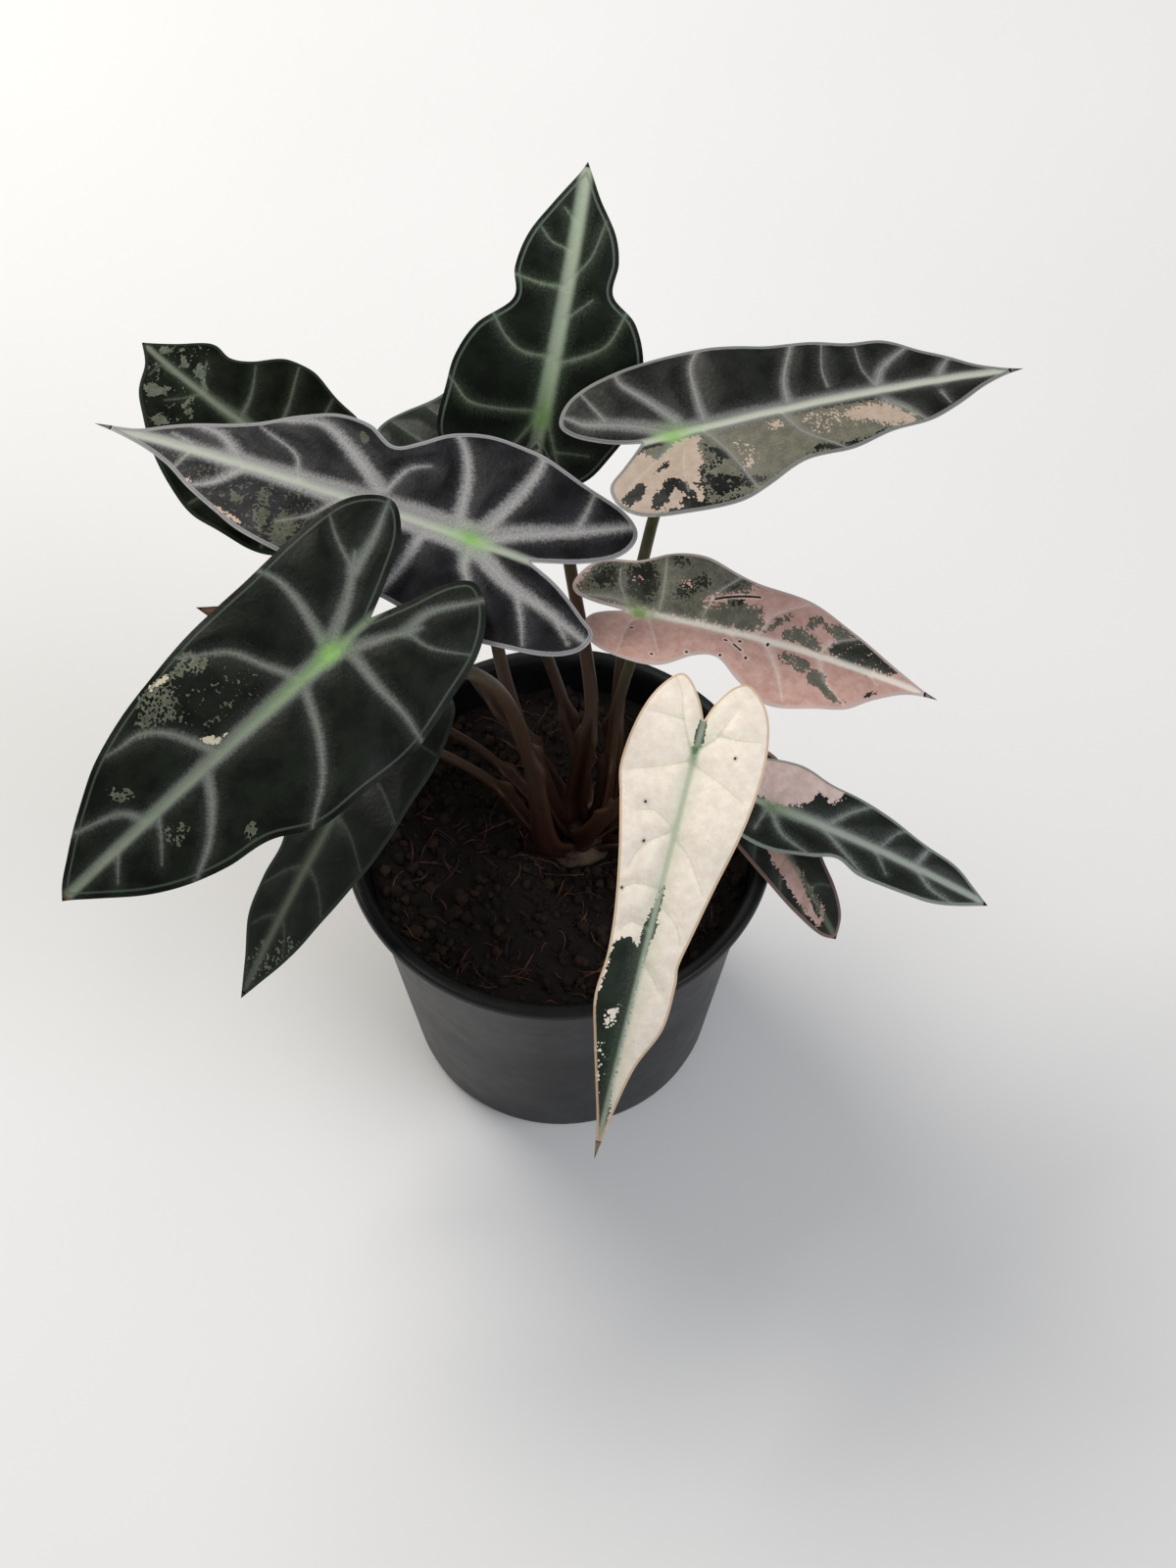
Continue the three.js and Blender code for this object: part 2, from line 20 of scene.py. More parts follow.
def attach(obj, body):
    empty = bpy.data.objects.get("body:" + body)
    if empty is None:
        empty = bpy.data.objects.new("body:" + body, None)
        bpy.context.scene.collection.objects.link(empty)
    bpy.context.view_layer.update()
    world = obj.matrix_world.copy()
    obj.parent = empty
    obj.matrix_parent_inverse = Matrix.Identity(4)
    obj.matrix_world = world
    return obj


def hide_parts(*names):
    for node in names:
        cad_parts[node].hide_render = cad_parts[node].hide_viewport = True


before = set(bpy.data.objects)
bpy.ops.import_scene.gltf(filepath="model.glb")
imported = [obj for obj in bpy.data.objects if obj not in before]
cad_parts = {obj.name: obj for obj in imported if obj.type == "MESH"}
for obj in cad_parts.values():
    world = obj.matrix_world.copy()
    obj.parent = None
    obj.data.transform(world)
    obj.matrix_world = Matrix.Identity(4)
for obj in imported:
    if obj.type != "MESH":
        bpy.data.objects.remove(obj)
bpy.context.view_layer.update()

LOG = logging.getLogger("alocasia")
MM = 0.001
BODY = "root"

Point = tuple[float, float]
Place = tuple[float, float, float]
Pair = tuple[float, float]
Triple = tuple[float, float, float]


# Colours and shader expressions


def tint(code: str) -> tuple[float, float, float, float]:
    """Turn a screen colour into the linear one that a shader takes.

    Args:
        code: Six hexadecimal digits, red first.

    Returns:
        Linear red, green and blue, and a full alpha.
    """
    screen = [int(code[k:k + 2], 16) / 255 for k in (0, 2, 4)]
    linear = [c / 12.92 if c <= 0.04045 else ((c + 0.055) / 1.055) ** 2.4 for c in screen]
    return (*linear, 1.0)


class Field:
    """A value that varies over a surface; arithmetic on it adds Math nodes."""

    def __init__(self, graph: "Graph", socket: bpy.types.NodeSocket) -> None:
        """Keep the graph and the socket that carries the value."""
        self.graph = graph
        self.socket = socket

    def _math(self, operation: str, first: "Value", second: "Value") -> "Field":
        """Join two values with one Math node."""
        return self.graph.node("ShaderNodeMath", {"operation": operation}, {0: first, 1: second})

    def __add__(self, other: "Value") -> "Field":
        """Add another value."""
        return self._math("ADD", self, other)

    def __radd__(self, other: "Value") -> "Field":
        """Add this to a plain number."""
        return self._math("ADD", other, self)

    def __sub__(self, other: "Value") -> "Field":
        """Take another value away."""
        return self._math("SUBTRACT", self, other)

    def __rsub__(self, other: "Value") -> "Field":
        """Take this away from a plain number."""
        return self._math("SUBTRACT", other, self)

    def __mul__(self, other: "Value") -> "Field":
        """Multiply by another value."""
        return self._math("MULTIPLY", self, other)

    def __rmul__(self, other: "Value") -> "Field":
        """Multiply a plain number by this."""
        return self._math("MULTIPLY", other, self)

    def __abs__(self) -> "Field":
        """Drop the sign."""
        return self._math("ABSOLUTE", self, 0.0)


Value = Field | float
Colour = Field | tuple[float, float, float, float]


class Graph:
    """The node tree of one material, with short forms for the nodes that the finishes use."""

    def __init__(self, name: str) -> None:
        """Start a material with its main shader.

        Args:
            name: The material's name.
        """
        self.material = bpy.data.materials.new(name)
        self.material.use_nodes = True
        self.tree = self.material.node_tree
        self.shader = self.tree.nodes["Principled BSDF"]

    def node(self, kind: str, settings: dict, inputs: dict, output: int | str = 0) -> Field:
        """Add one node.

        Args:
            kind: The node's type.
            settings: Its properties, which are set first.
            inputs: Values or fields for its sockets, by index or name.
            output: The socket to hand on, by index or name.

        Returns:
            The chosen output as a field.
        """
        made = self.tree.nodes.new(kind)
        for key, value in settings.items():
            setattr(made, key, value)
        for key, value in inputs.items():
            self.feed(made.inputs[key], value)
        return Field(self, made.outputs[output])

    def feed(self, socket: bpy.types.NodeSocket, value: Value | Colour) -> None:
        """Link a field to a socket, or set a plain value on it.

        Args:
            socket: The socket that is fed.
            value: A field, or the number or colour to set.
        """
        if isinstance(value, Field):
            self.tree.links.new(value.socket, socket)
        else:
            socket.default_value = value

    def read(self, name: str, output: str = "Fac") -> Field:
        """Read a mesh attribute by name, as a number or, with output Vector, a vector."""
        return self.node("ShaderNodeAttribute", {"attribute_name": name}, {}, output)

    def position(self) -> Field:
        """The place of each spot of the surface, in metres."""
        return self.node("ShaderNodeNewGeometry", {}, {}, "Position")

    def noise(self, where: Field, scale: float, detail: float = 2.0, rough: float = 0.5) -> Field:
        """Cloudy noise from 0 to 1, about 0.5 on average."""
        inputs = {"Vector": where, "Scale": scale, "Detail": detail, "Roughness": rough}
        return self.node("ShaderNodeTexNoise", {}, inputs)

    def cells(self, where: Field, scale: float, feature: str = "F1") -> Field:
        """Distance in a pattern of cells, from each cell's centre unless the feature says otherwise."""
        inputs = {"Vector": where, "Scale": scale}
        return self.node("ShaderNodeTexVoronoi", {"feature": feature}, inputs, "Distance")

    def step(self, value: Value, low: float, high: float) -> Field:
        """Rise smoothly from 0 at low to 1 at high; low may be the greater."""
        settings = {"interpolation_type": "SMOOTHSTEP"}
        return self.node("ShaderNodeMapRange", settings, {0: value, 1: low, 2: high})

    def paint(self, factor: Value, under: Colour, over: Colour) -> Field:
        """Lay one colour over another by a factor."""
        return self.node("ShaderNodeMix", {"data_type": "RGBA"}, {0: factor, 6: under, 7: over}, 2)

    def stretch(self, where: Field, scale: Triple) -> Field:
        """Scale coordinates, each axis by its own amount."""
        return self.node("ShaderNodeVectorMath", {"operation": "MULTIPLY"}, {0: where, 1: scale})

    def bump(self, height: Value, depth: float) -> Field:
        """A bumped normal; depth is the height of a full step, in millimetres."""
        inputs = {"Strength": 1.0, "Distance": depth * MM, "Height": height}
        return self.node("ShaderNodeBump", {}, inputs, "Normal")

    def finish(self, **inputs: Value | Colour) -> bpy.types.Material:
        """Feed the shader's sockets, given with underscores for spaces.

        Args:
            inputs: Values or fields by socket name.

        Returns:
            The finished material.
        """
        for key, value in inputs.items():
            self.feed(self.shader.inputs[key.replace("_", " ")], value)
        return self.material


# Curves, distances and meshes


def direction(azimuth: float, elevation: float) -> np.ndarray:
    """A unit vector from an azimuth and an elevation in degrees."""
    turn, lift = math.radians(azimuth), math.radians(elevation)
    return np.array([math.cos(lift) * math.cos(turn), math.cos(lift) * math.sin(turn), math.sin(lift)])


def carried(axis: np.ndarray, hinge: np.ndarray, angle: np.ndarray) -> np.ndarray:
    """Turn a vector about a hinge.

    Args:
        axis: The vector.
        hinge: A unit vector to turn about.
        angle: One angle in radians for each wanted result.

    Returns:
        One turned vector a row.
    """
    cosine, sine = np.cos(angle)[:, None], np.sin(angle)[:, None]
    return axis * cosine + np.cross(hinge, axis) * sine + hinge * (hinge @ axis) * (1 - cosine)


def turns(sides: int) -> list[float]:
    """The angle of each corner of a ring, in radians."""
    return [2 * math.pi * side / sides for side in range(sides)]


def unit(rows: np.ndarray, least: float = 0.0) -> np.ndarray:
    """Bring each row to length one; least keeps a row without length from failing."""
    return rows / (np.linalg.norm(rows, axis=1)[:, None] + least)


def eased(start: np.ndarray, end: np.ndarray, leave: np.ndarray, arrive: np.ndarray,
          steps: int) -> np.ndarray:
    """Sample one stretch of a curve, without its end.

    Args:
        start: Where it starts.
        end: Where it ends.
        leave: Its speed at the start.
        arrive: Its speed at the end.
        steps: How many samples to take.

    Returns:
        The samples in order, one a row.
    """
    t = np.linspace(0, 1, steps, endpoint=False)[:, None]
    bend = (2 * start - 2 * end + leave + arrive) * t ** 3
    ease = (-3 * start + 3 * end - 2 * leave - arrive) * t ** 2
    return bend + ease + leave * t + start


def smooth_path(points: tuple, steps: int) -> np.ndarray:
    """Sample a smooth curve through some points.

    Args:
        points: The points that the curve passes.
        steps: Samples for each stretch between two points.

    Returns:
        The samples in order, one a row.
    """
    known = np.array(points, float)
    padded = np.vstack([known[0], known, known[-1]])
    parts = []
    for k in range(len(known) - 1):
        before, start, end, after = padded[k:k + 4]
        parts.append(eased(start, end, (end - before) / 2, (after - start) / 2, steps))
    return np.vstack([*parts, known[-1:]])


def flowing_path(points: list, steps: int) -> np.ndarray:
    """Sample a curve through places in space that allows for their distances, so it never loops.

    Args:
        points: The places that the curve passes; beyond both ends it runs straight on.
        steps: Samples for each stretch between two places.

    Returns:
        The samples in order, one a row.
    """
    known = np.array(points, float)
    padded = np.vstack([2 * known[0] - known[1], known, 2 * known[-1] - known[-2]])
    parts = []
    for k in range(len(known) - 1):
        before, start, end, after = padded[k:k + 4]
        first, middle, last = (math.sqrt(np.linalg.norm(b - a))
                               for a, b in ((before, start), (start, end), (end, after)))
        leave = (start - before) / first - (end - before) / (first + middle) + (end - start) / middle
        arrive = (end - start) / middle - (after - start) / (middle + last) + (after - end) / last
        parts.append(eased(start, end, leave * middle, arrive * middle, steps))
    return np.vstack([*parts, known[-1:]])


def spaced(path: np.ndarray, gap: float) -> np.ndarray:
    """Place points evenly along a path.

    Args:
        path: The path's corners, one a row.
        gap: About how far apart the points lie.

    Returns:
        The points in order, one a row, with both ends of the path.
    """
    run = np.concatenate([[0], np.cumsum(np.linalg.norm(np.diff(path, axis=0), axis=1))])
    wanted = np.linspace(0, run[-1], max(2, round(run[-1] / gap)) + 1)
    return np.stack([np.interp(wanted, run, path[:, k]) for k in range(path.shape[1])], axis=1)


def nearest(points: np.ndarray, path: np.ndarray) -> tuple[np.ndarray, np.ndarray]:
    """Measure how far points lie from a path.

    Args:
        points: One point a row.
        path: The path's corners, one a row.

    Returns:
        Each point's distance, and how far along the path its nearest spot is, from 0 to 1.
    """
    distance = np.full(len(points), 1e9)
    along = np.zeros(len(points))
    stretches = len(path) - 1
    for k in range(stretches):
        step = path[k + 1] - path[k]
        share = np.clip((points - path[k]) @ step / max(step @ step, 1e-12), 0, 1)
        gap = np.linalg.norm(points - path[k] - share[:, None] * step, axis=1)
        closer = gap < distance
        distance[closer] = gap[closer]
        along[closer] = (k + share[closer]) / stretches
    return distance, along


def inside(points: np.ndarray, outline: np.ndarray) -> np.ndarray:
    """Tell which points lie inside a closed outline.

    Args:
        points: One point a row.
        outline: The outline's corners, one a row.

    Returns:
        True for each point inside.
    """
    found = np.zeros(len(points), bool)
    x, y = points[:, 0], points[:, 1]
    for (x0, y0), (x1, y1) in zip(outline, np.roll(outline, -1, axis=0)):
        if y0 != y1:
            crosses = ((y0 > y) != (y1 > y)) & (x < (x1 - x0) * (y - y0) / (y1 - y0) + x0)
            found ^= crosses
    return found


def depth_inside(points: np.ndarray, outline: np.ndarray) -> np.ndarray:
    """Distance from a closed outline, positive inside it."""
    distance, _ = nearest(points, np.vstack([outline, outline[:1]]))
    return np.where(inside(points, outline), distance, -distance)


def ridge(distance: np.ndarray, shape: Pair) -> np.ndarray:
    """The height of a rounded ridge, given as its width and height, at distances from its line."""
    width, height = shape
    return height * np.exp(-(distance / width) ** 2)


def build_mesh(name: str, corners: np.ndarray, faces: list,
               fields: dict | None = None) -> bpy.types.Object:
    """Make a smooth-shaded object.

    Args:
        name: The object's name.
        corners: Corner places in millimetres, one a row.
        faces: Corner numbers of each face.
        fields: Values for each corner by attribute name, numbers or vectors.

    Returns:
        The object, in the scene.
    """
    mesh = bpy.data.meshes.new(name)
    mesh.from_pydata((corners * MM).tolist(), [], faces)
    for key, values in (fields or {}).items():
        kind, slot = ("FLOAT", "value") if values.ndim == 1 else ("FLOAT_VECTOR", "vector")
        attribute = mesh.attributes.new(key, kind, "POINT")
        attribute.data.foreach_set(slot, values.astype(np.float32).ravel())
    mesh.shade_smooth()
    mesh.update()
    thing = bpy.data.objects.new(name, mesh)
    bpy.context.collection.objects.link(thing)
    return thing


def tube_faces(rings: int, sides: int, first: int = 0) -> list:
    """Work out the faces of a closed tube with both ends capped.

    Args:
        rings: How many rings of corners follow each other.
        sides: Corners in each ring.
        first: The number of the first corner.

    Returns:
        The corner numbers of each face.
    """
    faces = []
    for ring in range(rings - 1):
        low = first + ring * sides
        for side in range(sides):
            after = (side + 1) % sides
            faces.append((low + side, low + after, low + sides + after, low + sides + side))
    faces.append(tuple(first + side for side in reversed(range(sides))))
    faces.append(tuple(first + (rings - 1) * sides + side for side in range(sides)))
    return faces


def thin_tube(spine: np.ndarray, radius: float, sides: int) -> np.ndarray:
    """Place the corners of a tube that thins out at both ends.

    Args:
        spine: The tube's centre line, one place a row.
        radius: Its radius in the middle.
        sides: Corners in each ring.

    Returns:
        The corners, ring by ring along the spine.
    """
    end = 0.35
    run = unit(np.gradient(spine, axis=0))
    across = unit(np.cross(run, (0.0, 0.0, 1.0)), 1e-9)
    upward = np.cross(across, run)
    rings = []
    for k, spot in enumerate(spine):
        size = radius * (end + (1 - end) * math.sin(math.pi * (k + 0.5) / len(spine)))
        for turn in turns(sides):
            rings.append(spot + size * (math.cos(turn) * across[k] + math.sin(turn) * upward[k]))
    return np.array(rings)


def dress(piece: bpy.types.Object, material: bpy.types.Material, slot: str, *nodes: str) -> None:
    """Give a piece its material and body, hide the frame's nodes that it stands for, and report it.

    Args:
        piece: The object.
        material: Its material.
        slot: The frame's material slot that it belongs to; not used.
        nodes: The frame's nodes that it stands for, if any.
    """
    piece.data.materials.append(material)
    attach(piece, BODY)
    if nodes:
        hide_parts(*nodes)
    faces = len(piece.data.polygons)
    LOG.info("%s: %d faces, finish %s", piece.name, faces, material.name)


# Blades


class Tissue(Enum):
    """What a patch of a blade is made of; each covers the ones before it."""

    GREEN = "green"
    GREY = "grey"
    CREAM = "cream"


# Widths of veins beside a main side vein, and how closely grains fill a patch without gaps
COSTA, MAIN, THIN, FAINT = 1.5, 1.0, 0.45, 0.25
SOLID = 2.2

# Patterns on a blade, in waves for each millimetre
CLOUDS, BLOTCHES, SPECKS, GRAINS, HAIRS, STIPPLES = 0.11, 0.35, 0.9, 1.7, 2.6, 3.6


@dataclass(frozen=True)
class Patch:
    """A patch of other tissue on a blade, its outline in blade coordinates.

    scatter is how far the border breaks up into grains, in millimetres. fill is how closely the
    grains cover the inside: SOLID leaves no gap, 0 is half covered, and less leaves only specks.
    """

    tissue: Tissue
    outline: tuple[Point, ...]
    scatter: float = 1.5
    fill: float = SOLID


@dataclass(frozen=True)
class BladeFinish:
    """The colours of one blade and how its veins stand out.

    deep and green are the two shades of green tissue, grey and silver those of half-bleached
    tissue, blush and cream those of bleached tissue, and hurt that of spots and cracks, with scar
    around them. feather is how far the hairs of a vein's pale band reach into the tissue, halo
    how far its haze goes, flush how far the veins stay green from the foot, rim_width how wide
    the pale margin is, inset how far inside it the rim line runs instead, blush_width how far a
    tinge reaches from the midrib, line the half width of the midrib's bright line and foot_size
    that of the fresh green spot over the stalk (millimetres). strength, haze and trace are the
    shares of a vein's colour on it, beside it and in bleached tissue, bright that of the bright
    line and lining that of the dark line in the pale margin.
    """

    name: str
    green: str = "161d16"
    deep: str = "0b100b"
    vein: str = "858b82"
    rib: str = "a9b49c"
    grey: str = "5f614c"
    silver: str = "7c7b64"
    cream: str = "c9b5a4"
    blush: str = "bfa090"
    scar: str = "8f8f7c"
    hurt: str = "24120e"
    rim: str = "747d76"
    foot: str = "7aa45a"
    tip: str = "5a3226"
    under: str = "4d5a47"
    feather: float = 0.7
    halo: float = 3.0
    haze: float = 0.11
    strength: float = 0.9
    trace: float = 0.3
    flush: float = 16.0
    rim_width: float = 1.1
    lining: float = 0.45
    inset: float = 0.0
    blush_width: float = 0.0
    line: float = 1.2
    bright: float = 0.5
    foot_size: float = 2.2
    gloss: float = 0.2
    roughness: float = 0.45

    # Half the step between two tissues, and between which shares of the length the tip turns dry
    border: float = 0.05
    dry: Pair = (0.965, 0.99)

    def material(self) -> bpy.types.Material:
        """Mix the tissues, veins, rim and specks of the blade.

        Returns:
            The finished material.
        """
        g = Graph(self.name)
        leaf = g.read("leaf", "Vector")
        band, core, edge, share = (g.read(key) for key in ("band", "core", "edge", "share"))
        out = abs(g.node("ShaderNodeSeparateXYZ", {}, {0: leaf}, "Y"))
        hub = g.node("ShaderNodeVectorMath", {"operation": "LENGTH"}, {0: leaf}, "Value")
        coarse, fine = g.noise(leaf, BLOTCHES, 3.0, 0.6), g.noise(leaf, GRAINS, 2.0, 0.6)
        hairs = g.noise(g.read("hair", "Vector"), HAIRS, 2.0, 0.6)
        # Grains along the borders of the patches: clouds with dots in them
        grain = (coarse - 0.5) * 2.4 + (0.42 - g.cells(leaf, 1.25)) * 2.2
        cream = g.step(g.read("cream") + grain, -self.border, self.border)
        grey = g.step(g.read("grey") - grain, -self.border, self.border)
        # Veins with frayed edges, broken up by stipples, and a haze of dots beside them
        stipple = g.noise(leaf, STIPPLES, 1.0)
        frayed = band + ((hairs - 0.5) * 2.2 + (stipple - 0.5) * 2.4) * self.feather
        speckle = fine * 1.4 + stipple * 0.8
        vein = g.step(frayed, self.feather, -1.3) * (speckle - 0.1) * self.strength
        haze = g.step(frayed + (1.1 - speckle) * 5.0, self.halo, 0.0) * self.haze
        colour = g.paint(grey, self._green(g, leaf, haze, vein), self._grey(g, fine, coarse, vein))
        colour = g.paint(cream, colour, self._cream(g, leaf, coarse, vein, out))
        colour = self._midrib(g, colour, hub, out, core, coarse, fine, vein)
        colour = self._rim(g, colour, edge, fine)
        # Spots and cracks, the dry tip and the duller underside
        mark = g.read("mark") + (fine - 0.5) * 0.4
        colour = g.paint(g.step(mark, 1.1, 0.6) * 0.35, colour, tint(self.scar))
        specks = g.step(g.noise(leaf, SPECKS, 1.0), 0.78, 0.81) * 0.5 + g.step(mark, 0.5, 0.22)
        colour = g.paint(specks, colour, tint(self.hurt))
        colour = g.paint(g.step(share, *self.dry), colour, tint(self.tip))
        colour = g.paint(g.read("under") * 0.75, colour, tint(self.under))
        height = g.noise(leaf, 0.8, 3.0) + fine * 0.2 + vein * 0.3
        rough = self.roughness + (coarse - 0.5) * 0.16 + vein * 0.1
        return g.finish(Base_Color=colour, Roughness=rough, Normal=g.bump(height, 0.1),
                        Specular_IOR_Level=self.gloss)

    def _green(self, g: Graph, leaf: Field, haze: Field, vein: Field) -> Field:
        """Mix dark cloudy tissue with its pale veins.

        Args:
            g: The blade's graph.
            leaf: Blade coordinates.
            haze: The share of vein colour beside the veins.
            vein: The share of vein colour on them.

        Returns:
            The colour of green tissue.
        """
        cloud = g.step(g.noise(leaf, CLOUDS, 3.0, 0.6), 0.35, 0.65)
        green = g.paint(cloud, tint(self.deep), tint(self.green))
        green = g.paint(haze, green, tint(self.vein))
        return g.paint(vein, green, tint(self.vein))

    def _grey(self, g: Graph, fine: Field, coarse: Field, vein: Field) -> Field:
        """Mix half-bleached tissue, blotched from grey-green to silver.

        Args:
            g: The blade's graph.
            fine: Fine noise.
            coarse: Coarse noise.
            vein: The share of vein colour.

        Returns:
            The colour of half-bleached tissue.
        """
        blotch = g.step(fine * 0.5 + coarse * 0.5, 0.4, 0.62)
        grey = g.paint(blotch, tint(self.grey), tint(self.silver))
        return g.paint(vein * 0.6, grey, tint(self.vein))

    def _cream(self, g: Graph, leaf: Field, coarse: Field, vein: Field, out: Field) -> Field:
        """Mix bleached tissue with faint veins, tinged along the midrib.

        Args:
            g: The blade's graph.
            leaf: Blade coordinates.
            coarse: Coarse noise.
            vein: The share of vein colour.
            out: Distance from the midrib.

        Returns:
            The colour of bleached tissue.
        """
        cream = g.paint(g.step(coarse, 0.3, 0.7), tint(self.blush), tint(self.cream))
        net = g.step(g.cells(leaf, 0.6, "DISTANCE_TO_EDGE"), 0.16, 0.0)
        cream = g.paint(net * 0.06, cream, tint(self.scar))
        if self.blush_width:
            cream = g.paint(g.step(out, self.blush_width, 0.5) * 0.25, cream, tint(self.scar))
        return g.paint(vein * self.trace, cream, tint(self.scar))

    def _midrib(self, g: Graph, colour: Field, hub: Field, out: Field, core: Field, coarse: Field,
                fine: Field, vein: Field) -> Field:
        """Lay on the bright lines of midrib and veins, and the fresh green where the stalk joins.

        Args:
            g: The blade's graph.
            colour: The colour so far.
            hub: Distance from the foot.
            out: Distance from the midrib.
            core: Distance from the nearest vein.
            coarse: Coarse noise.
            fine: Fine noise.
            vein: The share of vein colour.

        Returns:
            The new colour.
        """
        colour = g.paint(g.step(core, 0.4, 0.1) * 0.12, colour, tint(self.rib))
        line = g.step(out + (fine - 0.5) * 0.6, self.line, 0.2 * self.line) * self.bright
        colour = g.paint(line, colour, tint(self.rib))
        flushed = g.step(hub, self.flush, 0.0) * g.step(out, 2.6, 0.8)
        fresh = flushed * 0.4 + g.step(hub, 7.0, 2.0) * 0.25
        colour = g.paint(fresh * vein, colour, tint(self.foot))
        spot = g.step(hub + (coarse - 0.5) * 4.0, self.foot_size, 0.3 * self.foot_size)
        return g.paint(spot * 0.75, colour, tint(self.foot))

    def _rim(self, g: Graph, colour: Field, edge: Field, fine: Field) -> Field:
        """Lay on the pale margin with its thin dark line, or the pale line that runs inside it.

        Args:
            g: The blade's graph.
            colour: The colour so far.
            edge: Distance from the margin.
            fine: Fine noise.

        Returns:
            The new colour.
        """
        shaken = edge + (fine - 0.5) * 0.3
        if self.inset:
            line = g.step(abs(shaken - self.inset), 0.45, 0.1)
            return g.paint(line * 0.6, colour, tint(self.rim))
        pale = g.step(shaken, self.rim_width, 0.7 * self.rim_width) * 0.85
        dark = g.step(abs(shaken - 0.5 * self.rim_width), 0.16, 0.04) * self.lining
        return g.paint(dark, g.paint(pale, colour, tint(self.rim)), tint(self.deep))


@dataclass
class Blade:
    """One leaf blade: a thin arched sheet folded at its midrib, puffed between its veins.

    foot is where the stalk joins, azimuth, pitch and roll turn the midrib there, arch and bend
    curve it down and sideways over its length, and fold lifts both halves (degrees). left and
    right are the outline from the sinus behind the foot to the tip. A vein is its weight and its
    points. ribs stand in for veins that can't be seen: each is its start on the midrib and the
    outline points it reaches on the left and on the right. wave is the margin's rise, its waves
    along the blade and their phase. midrib and vein_width are full widths, the first at foot and
    tip. marks are the brown lines and spots where the blade was hurt.
    """

    name: str
    foot: Place
    azimuth: float
    pitch: float
    roll: float
    arch: float
    bend: float
    fold: float
    length: float
    left: tuple[Point, ...]
    right: tuple[Point, ...]
    wave: Triple
    finish: BladeFinish
    slot: str = "green_blade"
    left_veins: tuple = ()
    right_veins: tuple = ()
    ribs: tuple[Triple, ...] = ()
    base: Tissue = Tissue.GREEN
    patches: tuple[Patch, ...] = ()
    marks: tuple[tuple[Point, ...], ...] = ()
    midrib: Pair = (2.6, 1.2)
    vein_width: float = 1.4

    # Shape of the sheet; a pair is a width or reach, then a height
    thickness: float = 0.5
    crease: float = 1.5
    curl: float = 2.0
    half_shift: float = 2.0
    puff: Pair = (4.0, 0.8)
    swell: Pair = (9.0, 0.35)
    groove: Pair = (0.7, 0.3)
    raised: Pair = (0.6, 0.45)
    keel: Pair = (1.0, 1.3)
    keel_loss: float = 0.8
    rounding: float = 0.2

    # Veins: the shares of their width at both ends, from how far off the midrib and how steeply
    # they are carried in, how far strong ones are carried on, and how softly their bands merge
    vein_taper: Pair = (1.0, 0.16)
    carried_in: float = 3.5
    steepest: float = 2.0
    carried_on: float = 4.0
    softness: float = 0.5

    # The midrib's reach towards the tip and its half widths behind the foot, and the reach of the
    # ribs that stand in for veins with how far their middle bows back
    midrib_reach: float = 0.985
    back_rib: Pair = (0.5, 0.1)
    rib_reach: float = 0.95
    rib_bow: float = 1.5

    # Mesh: samples between two points of a curve, spacing, how far inside the margin the points
    # of ring, lines and grid stay, how far off the lines those of the grid do, and a distance
    # that is beyond all others
    curve_steps: int = 12
    vein_steps: int = 6
    patch_steps: int = 4
    grid: float = 0.85
    margin_gap: float = 0.6
    ring_inset: float = 0.3
    clear: Triple = (0.25, 0.7, 0.75)
    line_clear: float = 0.45
    far: float = 99.0

    def __post_init__(self) -> None:
        """Work out the blade's own axes and the curve of its midrib."""
        arch, bend = math.radians(self.arch), math.radians(self.bend)
        total = math.hypot(arch, bend)
        self.ahead = direction(self.azimuth, self.pitch)
        level = direction(self.azimuth - 90, 0)
        self.across = carried(level, self.ahead, np.radians([self.roll]))[0]
        self.normal = np.cross(self.across, self.ahead)
        self.inward = (bend * self.across - arch * self.normal) / total
        self.hinge = np.cross(self.ahead, self.inward)
        self.curvature = total / self.length
        self.breadth = max(point[1] for point in self.left + self.right)
        self.seed = sum(map(ord, self.name))

    def place(self, flat: np.ndarray, lift: np.ndarray) -> np.ndarray:
        """Carry flat blade coordinates to their place on the plant.

        Args:
            flat: Ahead and out for each point, one a row.
            lift: How far each point stands off the middle of the sheet.

        Returns:
            Places in millimetres, one a row.
        """
        ahead, out = flat.T
        rise, count, phase = self.wave
        waves = 2 * math.pi * (count * ahead / self.length + phase)
        waves += np.where(out > 0, 0.0, self.half_shift)
        share = np.abs(out) / self.breadth
        folded = np.sqrt(out ** 2 + self.crease ** 2) - self.crease
        height = folded * math.tan(math.radians(self.fold))
        height += (rise * np.sin(waves) - self.curl) * share ** 2
        angle = self.curvature * ahead
        spine = self.ahead * np.sin(angle)[:, None] + self.inward * (1 - np.cos(angle))[:, None]
        sideways = carried(self.across, self.hinge, angle) * out[:, None]
        upward = carried(self.normal, self.hinge, angle) * (height + lift)[:, None]
        return np.array(self.foot) + spine / self.curvature + sideways + upward

    def outline(self) -> np.ndarray:
        """Draw the closed margin.

        Returns:
            Points from the tip round the left half and back along the right, one a row.
        """
        left = smooth_path([(ahead, -out) for ahead, out in self.left], self.curve_steps)[::-1]
        right = smooth_path(self.right, self.curve_steps)
        return spaced(np.vstack([left, right[1:]]), self.margin_gap)[:-1]

